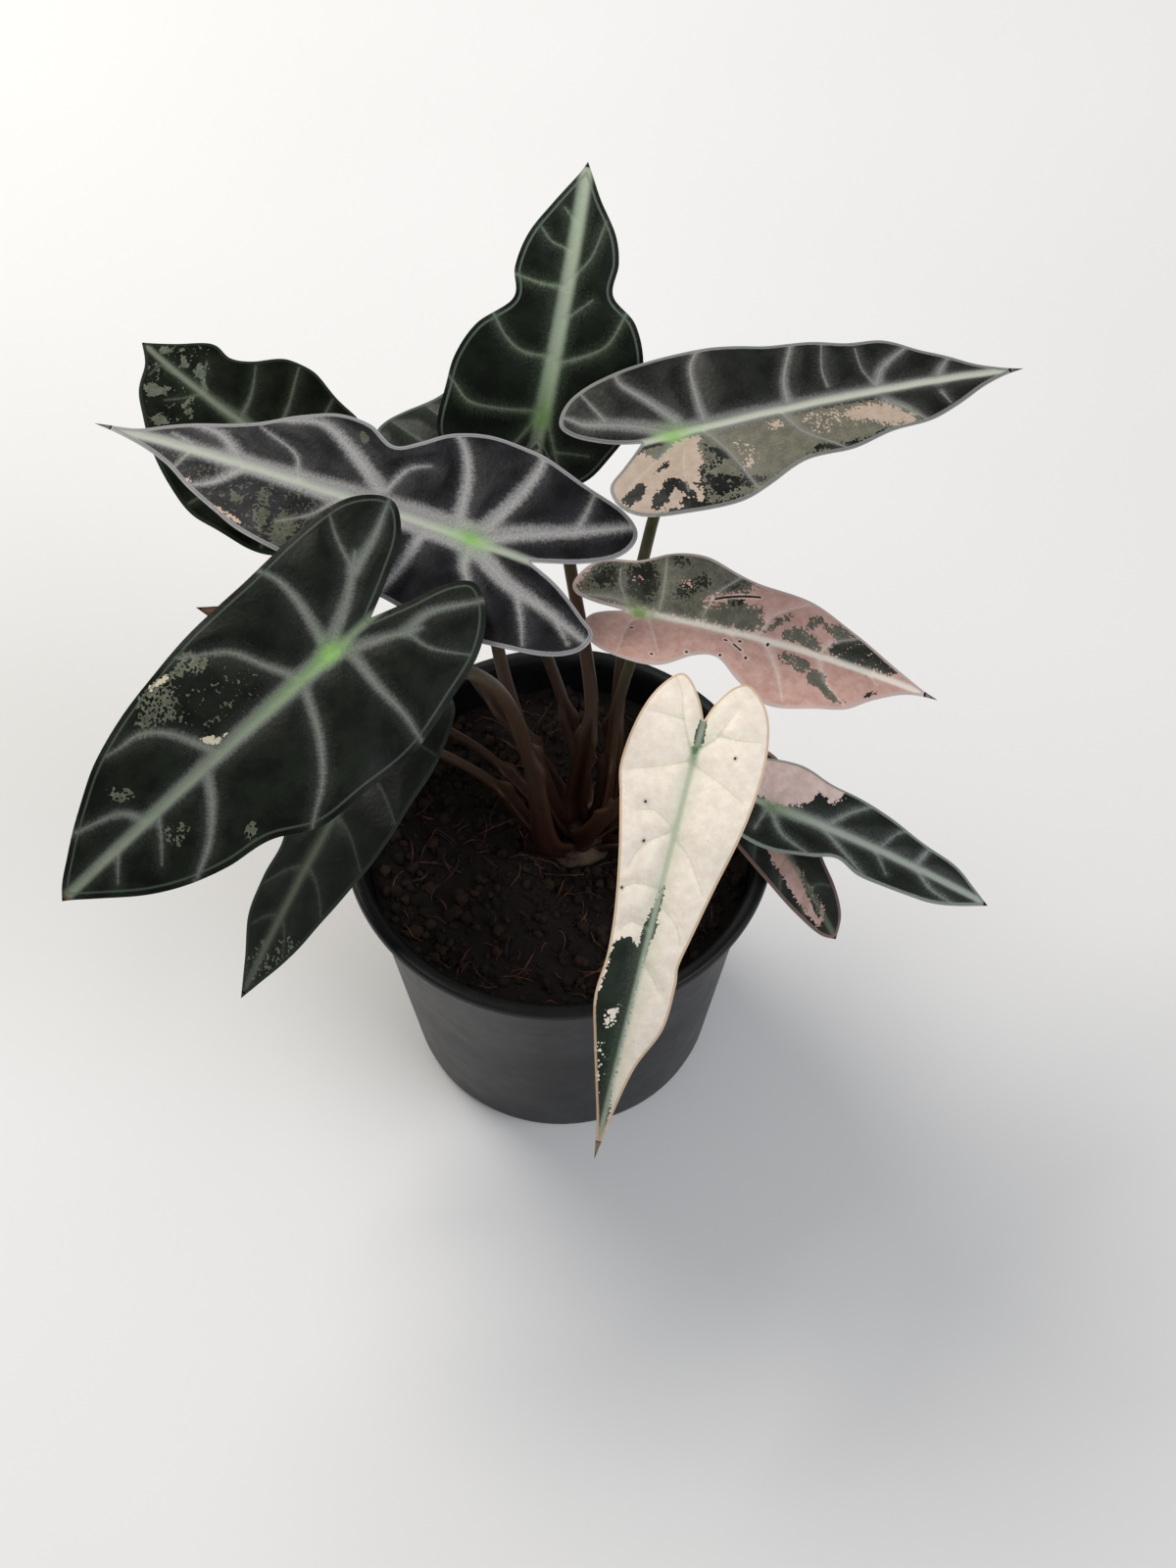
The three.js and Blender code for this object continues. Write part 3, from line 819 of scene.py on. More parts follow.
    def veins(self) -> list[tuple[np.ndarray, np.ndarray]]:
        """Lay out the veins.

        Returns:
            Each vein's path and its half width at both ends, the midrib's first.
        """
        foot, tip, back = (0.0, 0.0), (self.midrib_reach * self.length, 0.0), (self.left[0][0] + 1.0, 0.0)
        found = [(np.array([foot, tip]), np.array(self.midrib) / 2),
                 (np.array([foot, back]), np.array(self.back_rib))]
        for side, listed in ((-1, self.left_veins), (1, self.right_veins)):
            for weight, *points in listed:
                path = self._lengthened(points, weight)
                widths = self.vein_width * weight / 2 * np.array(self.vein_taper)
                found.append((smooth_path(path * (1, side), self.vein_steps), widths))
        for start, *ends in self.ribs:
            for side, half, end in zip((-1, 1), (self.left, self.right), ends):
                reach = smooth_path(half, self.curve_steps)[round(self.curve_steps * end)] * self.rib_reach
                middle = ((start + reach[0]) / 2 - self.rib_bow, reach[1] / 2)
                path = np.array([(start, 0.0), middle, reach]) * (1, side)
                widths = self.vein_width / 2 * np.array(self.vein_taper)
                found.append((smooth_path(path, self.vein_steps), widths))
        return found

    def _lengthened(self, points: list, weight: float) -> np.ndarray:
        """Carry a vein in to the midrib, if it starts near it, and on towards the margin.

        Args:
            points: The vein's points.
            weight: Its weight; only a strong vein is carried on.

        Returns:
            The longer path, one point a row.
        """
        path = np.array(points, float)
        if 0 < path[0, 1] <= self.carried_in:
            slope = (path[1, 0] - path[0, 0]) / max(path[1, 1] - path[0, 1], 0.5)
            slope = min(max(slope, -self.steepest), self.steepest)
            path = np.vstack([(path[0, 0] - slope * path[0, 1], 0.0), path])
        if weight >= MAIN:
            step = path[-1] - path[-2]
            path = np.vstack([path, path[-1] + step * (self.carried_on / np.linalg.norm(step))])
        return path

    def spread(self, margin: np.ndarray, paths: list) -> np.ndarray:
        """Scatter the points of the sheet.

        Args:
            margin: The closed outline.
            paths: Lines that have points along them, such as the veins.

        Returns:
            A ring inside the margin, the lines and a grid between them, one point a row.
        """
        after = np.roll(margin, -1, axis=0) - np.roll(margin, 1, axis=0)
        inward = unit(np.stack([-after[:, 1], after[:, 0]], axis=1))
        ring_clear, line_clear, grid_clear = self.clear
        ring = margin + self.ring_inset * inward
        ring = ring[depth_inside(ring, margin) > ring_clear]
        along = np.vstack([spaced(path, self.grid) for path in paths])
        along = along[depth_inside(along, margin) > line_clear]
        low, high = margin.min(axis=0), margin.max(axis=0)
        rise = self.grid * math.sqrt(3) / 2
        rows = np.arange(low[1], high[1], rise)
        columns = np.arange(low[0], high[0], self.grid)
        grid = np.array([(x + self.grid / 2 * (k % 2), y) for k, y in enumerate(rows) for x in columns])
        clear = depth_inside(grid, margin) > grid_clear
        for path in paths:
            clear &= nearest(grid, path)[0] > self.line_clear
        return np.vstack([ring, along, grid[clear]])

    def sheet(self, margin: np.ndarray, points: np.ndarray) -> tuple[np.ndarray, np.ndarray, np.ndarray]:
        """Join the margin and the inner points into flat triangles.

        Args:
            margin: The closed outline.
            points: The points inside.

        Returns:
            The corners, the triangles, and which corners lie on the margin.
        """
        count = len(margin)
        edges = [(k, (k + 1) % count) for k in range(count)]
        given = np.vstack([margin, points])
        made = delaunay_2d_cdt([Vector(point) for point in given], edges, [], 1, 1e-5)
        corners = np.array([tuple(corner) for corner in made[0]])
        triangles = np.array([face for face in made[2] if len(face) == 3])
        on_margin = np.array([any(k < count for k in origin) for origin in made[3]])
        kept = inside(corners[triangles].mean(axis=1), margin)
        return corners, triangles[kept], on_margin

    def fields(self, flat: np.ndarray, margin: np.ndarray, veins: list) -> dict[str, np.ndarray]:
        """Measure what the finish needs at each corner.

        Args:
            flat: The corners, flat.
            margin: The closed outline.
            veins: Paths and half widths of the veins.

        Returns:
            Distances, tissues and coordinates by attribute name.
        """
        edge, _ = nearest(flat, np.vstack([margin, margin[:1]]))
        core = np.full(len(flat), self.far)
        total, reach = np.zeros(len(flat)), np.zeros(len(flat))
        for path, widths in veins:
            distance, along = nearest(flat, path)
            reach = np.where(distance < core, along * np.linalg.norm(path[-1] - path[0]), reach)
            core = np.minimum(core, distance)
            total += np.exp(-(distance - np.interp(along, (0, 1), widths)) / self.softness)
        found = {"edge": edge, "core": core, "band": -self.softness * np.log(total + 1e-9)}
        found["hair"] = np.column_stack([reach, 0.25 * core, np.zeros(len(flat))])
        marks = [nearest(flat, np.array(mark))[0] for mark in self.marks]
        found["mark"] = np.min([*marks, np.full(len(flat), self.far)], axis=0)
        order = list(Tissue)
        amount = {tissue: np.full(len(flat), SOLID if tissue is self.base else -SOLID)
                  for tissue in order}
        for patch in self.patches:
            closed = smooth_path((*patch.outline, patch.outline[0]), self.patch_steps)
            depth = depth_inside(flat, closed[:-1])
            cover = np.clip(depth / patch.scatter, -SOLID, patch.fill)
            amount[patch.tissue] = np.maximum(amount[patch.tissue], cover)
            for above in order[order.index(patch.tissue) + 1:]:
                amount[above] = np.minimum(amount[above], -cover)
        found["cream"], found["grey"] = amount[Tissue.CREAM], amount[Tissue.GREY]
        found["leaf"] = np.column_stack([flat, np.zeros(len(flat))])
        found["share"] = np.clip(flat[:, 0] / self.length, 0, 1)
        return found

    def relief(self, flat: np.ndarray, found: dict) -> tuple[np.ndarray, np.ndarray]:
        """Work out how the two faces stand off the middle of the sheet.

        Args:
            flat: The corners, flat.
            found: What was measured at them.

        Returns:
            The height of the upper and of the lower face at each corner.
        """
        core, edge = found["core"], found["edge"]
        (reach, puff), (size, swell) = self.puff, self.swell
        waves = [noise.noise(Vector((u / size, v / size, self.seed))) for u, v in flat]
        puffed = puff * (1 - np.exp(-(np.minimum(core, edge) / reach) ** 2))
        middle = puffed + swell * np.array(waves)
        half = self.thickness / 2 * (1 - np.exp(-edge / self.rounding))
        groove = ridge(core, self.groove) * np.clip(edge / 2, 0, 1)
        keel = ridge(flat[:, 1], self.keel) * (1 - self.keel_loss * found["share"])
        rib = ridge(core, self.raised) * np.clip(edge / 3, 0, 1)
        keel = np.where(flat[:, 0] > -1, keel, rib) * np.clip(edge / 3, 0, 1)
        return middle + half - groove, middle - half - np.maximum(rib, keel)

    def build(self) -> None:
        """Make the blade as one closed sheet whose faces meet at the margin."""
        margin = self.outline()
        veins = self.veins()
        paths = [path for path, _ in veins] + [np.array(mark) for mark in self.marks]
        corners, triangles, on_margin = self.sheet(margin, self.spread(margin, paths))
        found = self.fields(corners, margin, veins)
        upper, lower = self.relief(corners, found)
        top = self.place(corners, upper)
        bottom = self.place(corners, lower)[~on_margin]
        count = len(corners)
        below = np.where(on_margin, np.arange(count), count + np.cumsum(~on_margin) - 1)
        faces = np.vstack([triangles[:, ::-1], below[triangles]])
        fields = {key: np.concatenate([values, values[~on_margin]]) for key, values in found.items()}
        fields["under"] = np.concatenate([np.zeros(count), np.ones(len(bottom))])
        piece = build_mesh(f"{self.name}_blade", np.vstack([top, bottom]), faces.tolist(), fields)
        piece.data.set_sharp_from_angle(angle=math.radians(60))
        dress(piece, self.finish.material(), self.slot, f"blade_{self.name}")


# The twelve blades


TOP = Blade(
    "top", (-4, 59, 205), 67, 60, 15, 42, -4, 6, 68,
    left=((-7, 0), (-15, 5), (-21, 12), (-19, 20), (-9, 26), (4, 26), (13, 25), (22, 21), (30, 13),
          (38, 14), (47, 12), (56, 7), (64, 2), (68, 0)),
    right=((-7, 0), (-13, 5), (-17, 10), (-14, 15), (-7, 19), (5, 23.5), (19, 23), (29, 19), (35, 12),
           (43, 12), (50, 10), (58, 5), (64, 2), (68, 0)),
    wave=(0.8, 2.5, 0.1),
    finish=BladeFinish("leaf_top", green="141c12", deep="090e08", vein="717f6a", rib="aab5a1", rim="66716a",
                       tip="5a4a2a", inset=1.3, strength=0.85, flush=24.0, gloss=0.12, line=2.6,
                       bright=0.6),
    left_veins=((MAIN, (17, 1), (17, 8), (20, 13), (25, 17)), (MAIN, (35, 2), (35, 7), (36, 13)),
                (THIN, (45, 3), (46, 6), (49, 9)), (MAIN, (2, 2), (1, 10), (1, 19), (5, 24)),
                (MAIN, (-1, 2), (-7, 5), (-13, 9)), (THIN, (53, 2), (55, 4))),
    right_veins=((MAIN, (16, 2), (19, 8), (23, 13), (31, 16)), (THIN, (39, 2), (44, 5), (53, 7)),
                 (MAIN, (-1, 2), (-8, 5)), (THIN, (29, 3), (31, 5), (33, 7)), (THIN, (-8, 5), (-7, 14))),
    midrib=(5.6, 2.6), vein_width=1.8)

UPPER_RIGHT = Blade(
    "upper_right", (29, 40, 222), 15, 4, 2, 12, 0, 10, 94,
    left=((-8, 0), (-17, 3), (-24, 7.5), (-26, 12), (-21, 18), (-10, 21), (3, 23), (15, 22), (28, 19.5),
          (40, 18), (50, 15), (60, 14), (70, 9), (80, 4), (88, 1.2), (94, 0)),
    right=((-8, 0), (-14, 6), (-19, 11), (-18, 18), (-12, 23), (0, 26), (11, 25), (20, 22), (30, 18),
           (42, 17), (54, 14), (64, 13), (73, 9), (82, 4), (89, 1.2), (94, 0)),
    wave=(1.0, 3, 0.3),
    finish=BladeFinish("leaf_upper_right", green="171a16", deep="0a0c09", vein="747473", rib="bec3b4",
                       grey="58574d", silver="6b695b", cream="a7988b", blush="9d8a7c", scar="a49d8e",
                       rim="7c7e7c", tip="7a4a3a", rim_width=1.2, gloss=0.14, line=1.6, bright=0.6),
    slot="mixed_blade",
    left_veins=((COSTA, (0, 1), (-10, 6), (-19, 9), (-23, 12)), (THIN, (-15, 9), (-17, 14), (-19, 19)),
                (MAIN, (2, 4), (-3, 11), (-8, 17), (-9, 20)), (MAIN, (9, 3), (9, 9), (10, 18), (14, 23)),
                (MAIN, (31, 3), (32, 9), (37, 19)), (MAIN, (54, 0), (57, 6), (65, 11)),
                (MAIN, (70, 0), (72, 3), (74, 5)), (FAINT, (42, 4), (42, 9), (44, 16)),
                (FAINT, (54, 2), (52, 7), (52, 13))),
    right_veins=((MAIN, (1, 2), (-5, 6), (-12, 11)), (THIN, (2, 5), (0, 11), (-1, 19)),
                 (MAIN, (8, 1), (12, 9), (15, 19)), (MAIN, (29, 2), (32, 9), (38, 14)),
                 (MAIN, (55, 4), (59, 7), (62, 11)), (THIN, (70, 4), (71, 8))),
    patches=(
        Patch(Tissue.CREAM, ((-9.5, 2.5), (-4.5, 3), (0.5, 2), (3.5, 2), (6.5, 2.5), (6.5, 6),
                             (5.5, 10.5), (3.5, 14), (2.5, 20), (1, 23.5), (-5.5, 23.5), (-15, 22.5),
                             (-19.5, 15), (-21.5, 11)), 0.8),
        Patch(Tissue.GREY, ((7, 3), (12, 2.5), (23.5, 2.5), (28.5, 2.5), (41.5, 3), (54, 4), (61, 11),
                            (57.5, 12.5), (45.5, 14.5), (34.5, 15.5), (24, 20), (17, 22.5), (9, 23.5),
                            (3, 23.5), (5, 14.5), (5.5, 7.5)), 1.2),
        Patch(Tissue.CREAM, ((44, 3.5), (48.5, 4.5), (53, 4), (56, 5.5), (61, 12), (56, 12.5), (52.5, 12),
                             (48, 10), (44, 9), (43, 6)), 1.5),
        Patch(Tissue.CREAM, ((24.5, 3), (27, 4), (26.5, 7), (24.5, 6.5)), 1.5, 0.3),
        Patch(Tissue.CREAM, ((15, 7.5), (17.5, 9.5), (18, 13), (15.5, 15.5), (15, 12)), 2.0, 0.1),
        Patch(Tissue.CREAM, ((33, 4), (41, 4.5), (41, 8.5), (36.5, 10), (33.5, 7)), 2.0, -0.1),
        Patch(Tissue.GREEN, ((-17, 17), (-16, 15), (-13, 13), (-11, 13), (-11, 15), (-12.5, 17),
                             (-14.5, 18), (-16.5, 18.5)), 0.7),
        Patch(Tissue.GREEN, ((-10.5, 21), (-9.5, 18), (-7, 16.5), (-6, 15), (-3.5, 14), (-1.5, 16),
                             (0, 18.5), (0.5, 21.5), (-2, 20), (-3.5, 17), (-5, 18.5), (-7, 20.5),
                             (-9, 22)), 0.8),
        Patch(Tissue.GREEN, ((-7.5, 10.5), (-5.5, 9), (-3.5, 7.5), (-3.5, 9.5), (-5.5, 10.5)), 0.6),
        Patch(Tissue.GREEN, ((-4.5, 22), (-2.5, 21.5), (-0.5, 22), (1, 23.5), (3.5, 23.5), (2.5, 24.5),
                             (-2, 24)), 0.6, 0.9),
        Patch(Tissue.GREEN, ((0.5, 16.5), (1, 16.5), (2.5, 19), (2, 19.5)), 0.4),
        Patch(Tissue.GREEN, ((3.5, 15), (5.5, 14), (6, 16), (9, 16.5), (12.5, 17.5), (16, 18.5),
                             (19, 20.5), (15.5, 21.5), (12, 21.5), (9, 22), (6, 23), (4.5, 21.5),
                             (3.5, 18)), 1.2, 0.75),
        Patch(Tissue.GREEN, ((3, 21), (5.5, 21), (6.5, 23), (2.5, 23)), 0.8, 0.1),
        Patch(Tissue.GREEN, ((5.5, 5), (7.5, 6), (10.5, 8), (12, 11.5), (10.5, 12), (8, 9)), 0.6),
        Patch(Tissue.GREEN, ((6, 7), (8, 8.5), (9.5, 12), (7.5, 14.5), (5.5, 13.5), (5, 10)), 0.9, 0.1),
        Patch(Tissue.GREEN, ((13, 13.5), (14.5, 14.5), (14.5, 17.5), (15.5, 19.5), (13.5, 18.5),
                             (13, 16)), 0.6),
        Patch(Tissue.GREEN, ((30, 16), (34.5, 14), (40, 14.5), (45.5, 14.5), (51, 13), (54, 12.5),
                             (52, 14), (46.5, 15.5), (39.5, 16), (34, 16)), 0.6),
        Patch(Tissue.GREY, ((-8.5, 3), (-5, 2.5), (-1, 3), (-4, 5), (-6, 6), (-7.5, 4.5)), 0.8)),
    midrib=(6.2, 2.2), vein_width=3.8)

UPPER_LEFT = Blade(
    "upper_left", (-21, 15, 212), 160, 6, -8, 16, 2, 8, 106,
    left=((-16, 0), (-25, 4), (-33, 9.5), (-37, 13), (-35, 19), (-27, 24), (-14, 26), (1, 26.5), (15, 24),
          (29, 22.5), (44, 21), (54, 19), (64, 15), (73, 11), (82, 6), (94, 2), (106, 0)),
    right=((-16, 0), (-27, 4), (-36, 10), (-38, 17), (-32, 22), (-19, 25), (-7, 28), (5, 29), (14, 26),
           (22, 20), (28, 17), (36, 21), (45, 21), (54, 17), (66, 11), (80, 7), (93, 2), (106, 0)),
    wave=(1.1, 3, 0.6),
    # The blue-violet cast of its green and deep is a painted sheen, laid into the tissue colour
    finish=BladeFinish("leaf_upper_left", green="1a1a1f", deep="0a0a0c", vein="8d8c8c", rib="a5ab9e",
                       grey="404339", silver="555748", cream="a08f83", rim="8c8c8e", tip="7a3a34",
                       feather=1.0, haze=0.06, rim_width=1.3, gloss=0.1, line=1.8, bright=0.7),
    left_veins=((COSTA, (-2, 2), (-12, 8), (-22, 11), (-34, 15)), (THIN, (-15, 9), (-19, 16), (-22, 23)),
                (THIN, (-26, 12), (-32, 18)), (MAIN, (0, 3), (-1, 8), (-3, 11), (-6, 20)),
                (MAIN, (12, 1), (13, 13), (15, 22)), (MAIN, (63, 2), (67, 7), (72, 10)),
                (THIN, (78, 3), (79, 7)), (THIN, (36, 2), (40, 8), (47, 13))),
    right_veins=((COSTA, (-1, 1), (-11, 6), (-22, 11), (-35, 18)), (THIN, (-23, 11), (-24, 18), (-24, 26)),
                 (MAIN, (-2, 4), (-7, 16), (-9, 25), (-8, 29)), (MAIN, (5, 3), (7, 15), (11, 23), (15, 26)),
                 (THIN, (25, 5), (22, 12), (17, 15)), (MAIN, (27, 5), (37, 12), (47, 17), (55, 15)),
                 (THIN, (48, 2), (51, 7), (62, 11)), (MAIN, (65, 2), (71, 6), (79, 7)),
                 (THIN, (79, 2), (84, 3))),
    patches=(
        Patch(Tissue.GREY, ((82, -4), (74.5, -3), (64.5, -3.5), (46.5, -3.5), (41, -5.5), (43, -19.5),
                            (58, -16.5), (71.5, -11)), 2.0, -0.7),
        Patch(Tissue.GREY, ((46.5, -17.5), (47, -14), (47, -10.5), (45.5, -10), (43.5, -11.5),
                            (41.5, -13), (40.5, -10), (39, -7.5), (41.5, -15), (43, -19.5),
                            (45.5, -19)), 0.8, 0.4),
        Patch(Tissue.GREY, ((53.5, -13), (51.5, -11), (49.5, -12), (49.5, -15), (49, -18),
                            (51.5, -15.5)), 0.8, 0.2),
        Patch(Tissue.GREY, ((53.5, -10.5), (54, -7), (52, -6), (51.5, -9.5), (52, -11)), 0.8, -0.2),
        Patch(Tissue.GREY, ((61.5, -9.5), (61, -8.5), (59.5, -9.5), (58.5, -11), (60, -11.5)), 0.5),
        Patch(Tissue.CREAM, ((74.5, -9), (74, -8), (72.5, -9), (73, -10)), 0.5),
        Patch(Tissue.CREAM, ((67, -13.5), (65, -13.5), (60, -14.5), (55.5, -16), (55.5, -17), (59.5, -16),
                             (64.5, -15)), 0.5),
        Patch(Tissue.GREY, ((37, 16.5), (36.5, 18), (34.5, 16.5), (35, 15)), 0.5)),
    midrib=(9.5, 2.2), vein_width=4.4)

BACK_LEFT = Blade(
    "back_left", (-75, 73, 175), 147, 11, -6, 20, 16, 4, 54,
    left=((-9, 0), (-18, 5), (-24, 12), (-22, 21), (-12, 28), (3, 30), (15, 27), (25, 22), (34, 16),
          (41, 11), (47, 4), (54, 0)),
    right=((-9, 0), (-17, 5), (-20, 12), (-14, 19), (-2, 22), (8, 24), (17, 23), (24, 16), (30, 13),
           (38, 13), (46, 6), (54, 0)),
    wave=(1.2, 2.5, 0.0),
    finish=BladeFinish("leaf_back_left", green="0f150c", deep="060904", vein="525a4e", rib="737b6d",
                       grey="464c40", silver="5c6256", rim="262d26", tip="3a3a22", strength=0.75,
                       haze=0.08, gloss=0.03, roughness=0.6),
    slot="mixed_blade",
    left_veins=((THIN, (29, 2.5), (30.5, 5), (33.5, 8.5)), (FAINT, (39, 1), (43.5, 1.5), (43, 5.5))),
    right_veins=((THIN, (28, 1), (31, 4), (34.5, 8)),),
    ribs=((-7, 2.2, 2.2), (-3, 4, 3.9), (3, 5.5, 5.5), (14, 6.8, 6.9)),
    patches=(
        Patch(Tissue.GREY, ((48.5, -2.5), (41.5, -0.5), (29, -3), (24, -6), (26, -10), (30, -14.5),
                            (39, -10)), 1.0, -0.95),
        Patch(Tissue.GREY, ((52, 0.5), (40, 10.5), (34.5, 7.5), (30, 3), (34, 1.5), (45, 2)), 1.0, -0.95),
        Patch(Tissue.GREY, ((40.5, -8), (40, -10), (36.5, -10), (35, -6.5), (35, -4.5), (37, -6.5)), 0.6),
        Patch(Tissue.GREY, ((32.5, -15), (30.5, -13.5), (27, -12.5), (27.5, -14), (29.5, -15.5)), 0.5),
        Patch(Tissue.GREY, ((28.5, -7), (29, -5), (28, -3), (27.5, -5), (27.5, -7)), 0.6, 0.6),
        Patch(Tissue.GREY, ((26.5, -7.5), (26, -6), (25, -6.5), (25.5, -8)), 0.6, 0.6),
        Patch(Tissue.GREY, ((38, 2), (40.5, 4), (40.5, 5), (38, 4), (36.5, 3)), 0.6, 0.8),
        Patch(Tissue.GREY, ((34, 3), (35, 5), (35, 6), (33.5, 6), (30.5, 3.5), (31.5, 2.5)), 0.6),
        Patch(Tissue.GREY, ((28.5, 0), (30.5, 3), (30, 3.5), (27, 1)), 0.6, 0.6),
        Patch(Tissue.GREY, ((48, 1.5), (47.5, 3.5), (45.5, 3.5), (44.5, 2.5), (46, 1.5)), 0.5, 0.8),
        Patch(Tissue.GREY, ((42.5, 5), (43, 6.5), (41.5, 6.5), (41.5, 5.5)), 0.5, 0.6)),
    midrib=(5.4, 1.4), vein_width=2.2)

LEFT = Blade(
    "left", (-54.5, -21, 214.5), 222, -12, -18, 28, 3, 4, 90.5,
    left=((-13.5, 0), (-23, 3), (-33.5, 6), (-38.5, 10.5), (-35.5, 17.5), (-27, 24), (-14.5, 28),
          (0, 31.5), (15.5, 31), (29, 30), (40.5, 24), (52, 22), (62.5, 18.5), (72, 13.5), (81.5, 6.5),
          (87.5, 2), (90.5, 0)),
    right=((-13.5, 0), (-24, 5), (-33.5, 10.5), (-38.5, 17.5), (-35.5, 23), (-27, 27), (-13.5, 28),
           (2, 27), (19, 27), (34.5, 25), (48, 23), (61.5, 18.5), (73, 12.5), (82.5, 6.5), (87.5, 3),
           (90.5, 0)),
    wave=(1.0, 3, 0.2),
    finish=BladeFinish("leaf_left", green="131911", deep="070a06", vein="676b66", rib="7d8a73",
                       grey="4c4f41", silver="656a5b", cream="c2bca8", rim="4a544a", tip="4a3428",
                       blush="b4ac94", haze=0.08, inset=1.6, flush=34.0, foot_size=3.0, gloss=0.12,
                       line=1.8),
    left_veins=((COSTA, (-2, 1), (-10.5, 5), (-17.5, 8.5)),
                (MAIN, (-17.5, 8.5), (-25, 8.5), (-35.5, 14.5)),
                (THIN, (-17.5, 8.5), (-19, 15.5), (-25, 23)),
                (MAIN, (-4, 4), (-3, 13.5), (-3, 23), (-2, 29)),
                (MAIN, (10.5, 3), (15.5, 13.5), (22, 22), (29, 27)),
                (MAIN, (40.5, 0), (45, 7.5), (52, 14.5), (59.5, 18.5)),
                (THIN, (56.5, 0), (60.5, 6), (64.5, 10.5)), (THIN, (70, 0), (76, 6.5))),
    right_veins=((COSTA, (-2, 2), (-12.5, 7.5), (-19, 12.5)),
                 (THIN, (-18.5, 11.5), (-21, 20), (-24, 26)),
                 (MAIN, (-18.5, 11.5), (-28, 14.5), (-34.5, 17.5)),
                 (MAIN, (-1, 4), (-3, 14.5), (-3, 22), (-1, 27)),
                 (MAIN, (9.5, 1), (13.5, 8.5), (17.5, 16.5), (25, 22)),
                 (MAIN, (36.5, 2), (41.5, 11.5), (47, 16.5), (53, 17.5)),
                 (MAIN, (60.5, 1), (64.5, 6), (75, 9.5))),
    patches=(
        Patch(Tissue.GREY, ((32, 21.5), (29, 23), (27, 24), (25, 23), (25, 21), (23, 19), (25, 18.5),
                            (27.5, 18.5), (28, 20), (30, 20.5)), 1.2, 0.0),
        Patch(Tissue.GREY, ((42.5, 22), (41, 23), (38, 22), (35.5, 21), (33.5, 19), (35, 17.5), (37, 18),
                            (37, 15.5), (38.5, 14), (41, 15.5), (44, 16), (44.5, 18.5),
                            (42.5, 19.5)), 1.5, -0.1),
        Patch(Tissue.GREY, ((46.5, 19), (44.5, 18.5), (45.5, 15.5), (47.5, 17)), 1.0, -0.2),
        Patch(Tissue.GREY, ((28.5, 15), (20, 12), (18.5, 6), (26, 2), (32, 4), (37.5, 9),
                            (38.5, 13)), 1.5, -0.95),
        Patch(Tissue.CREAM, ((39, 23.5), (35.5, 23.5), (32.5, 22.5), (33, 21), (36, 22),
                             (38.5, 22.5)), 0.7),
        Patch(Tissue.CREAM, ((37, 6), (34.5, 4.5), (33, 3), (30.5, 2), (33, 2), (35.5, 2.5),
                             (37, 4)), 0.6),
        Patch(Tissue.GREY, ((62, 11), (58, 7.5), (58.5, 6.5), (61, 7.5), (62.5, 10)), 1.0, 0.0),
        Patch(Tissue.GREY, ((42.5, -18), (41, -18.5), (42.5, -21), (44, -20)), 0.8, -0.1),
        Patch(Tissue.GREY, ((57.5, -5), (54, -8), (56, -9.5), (58.5, -8)), 1.2, -0.4)),
    midrib=(5.8, 2.6), vein_width=3.6)

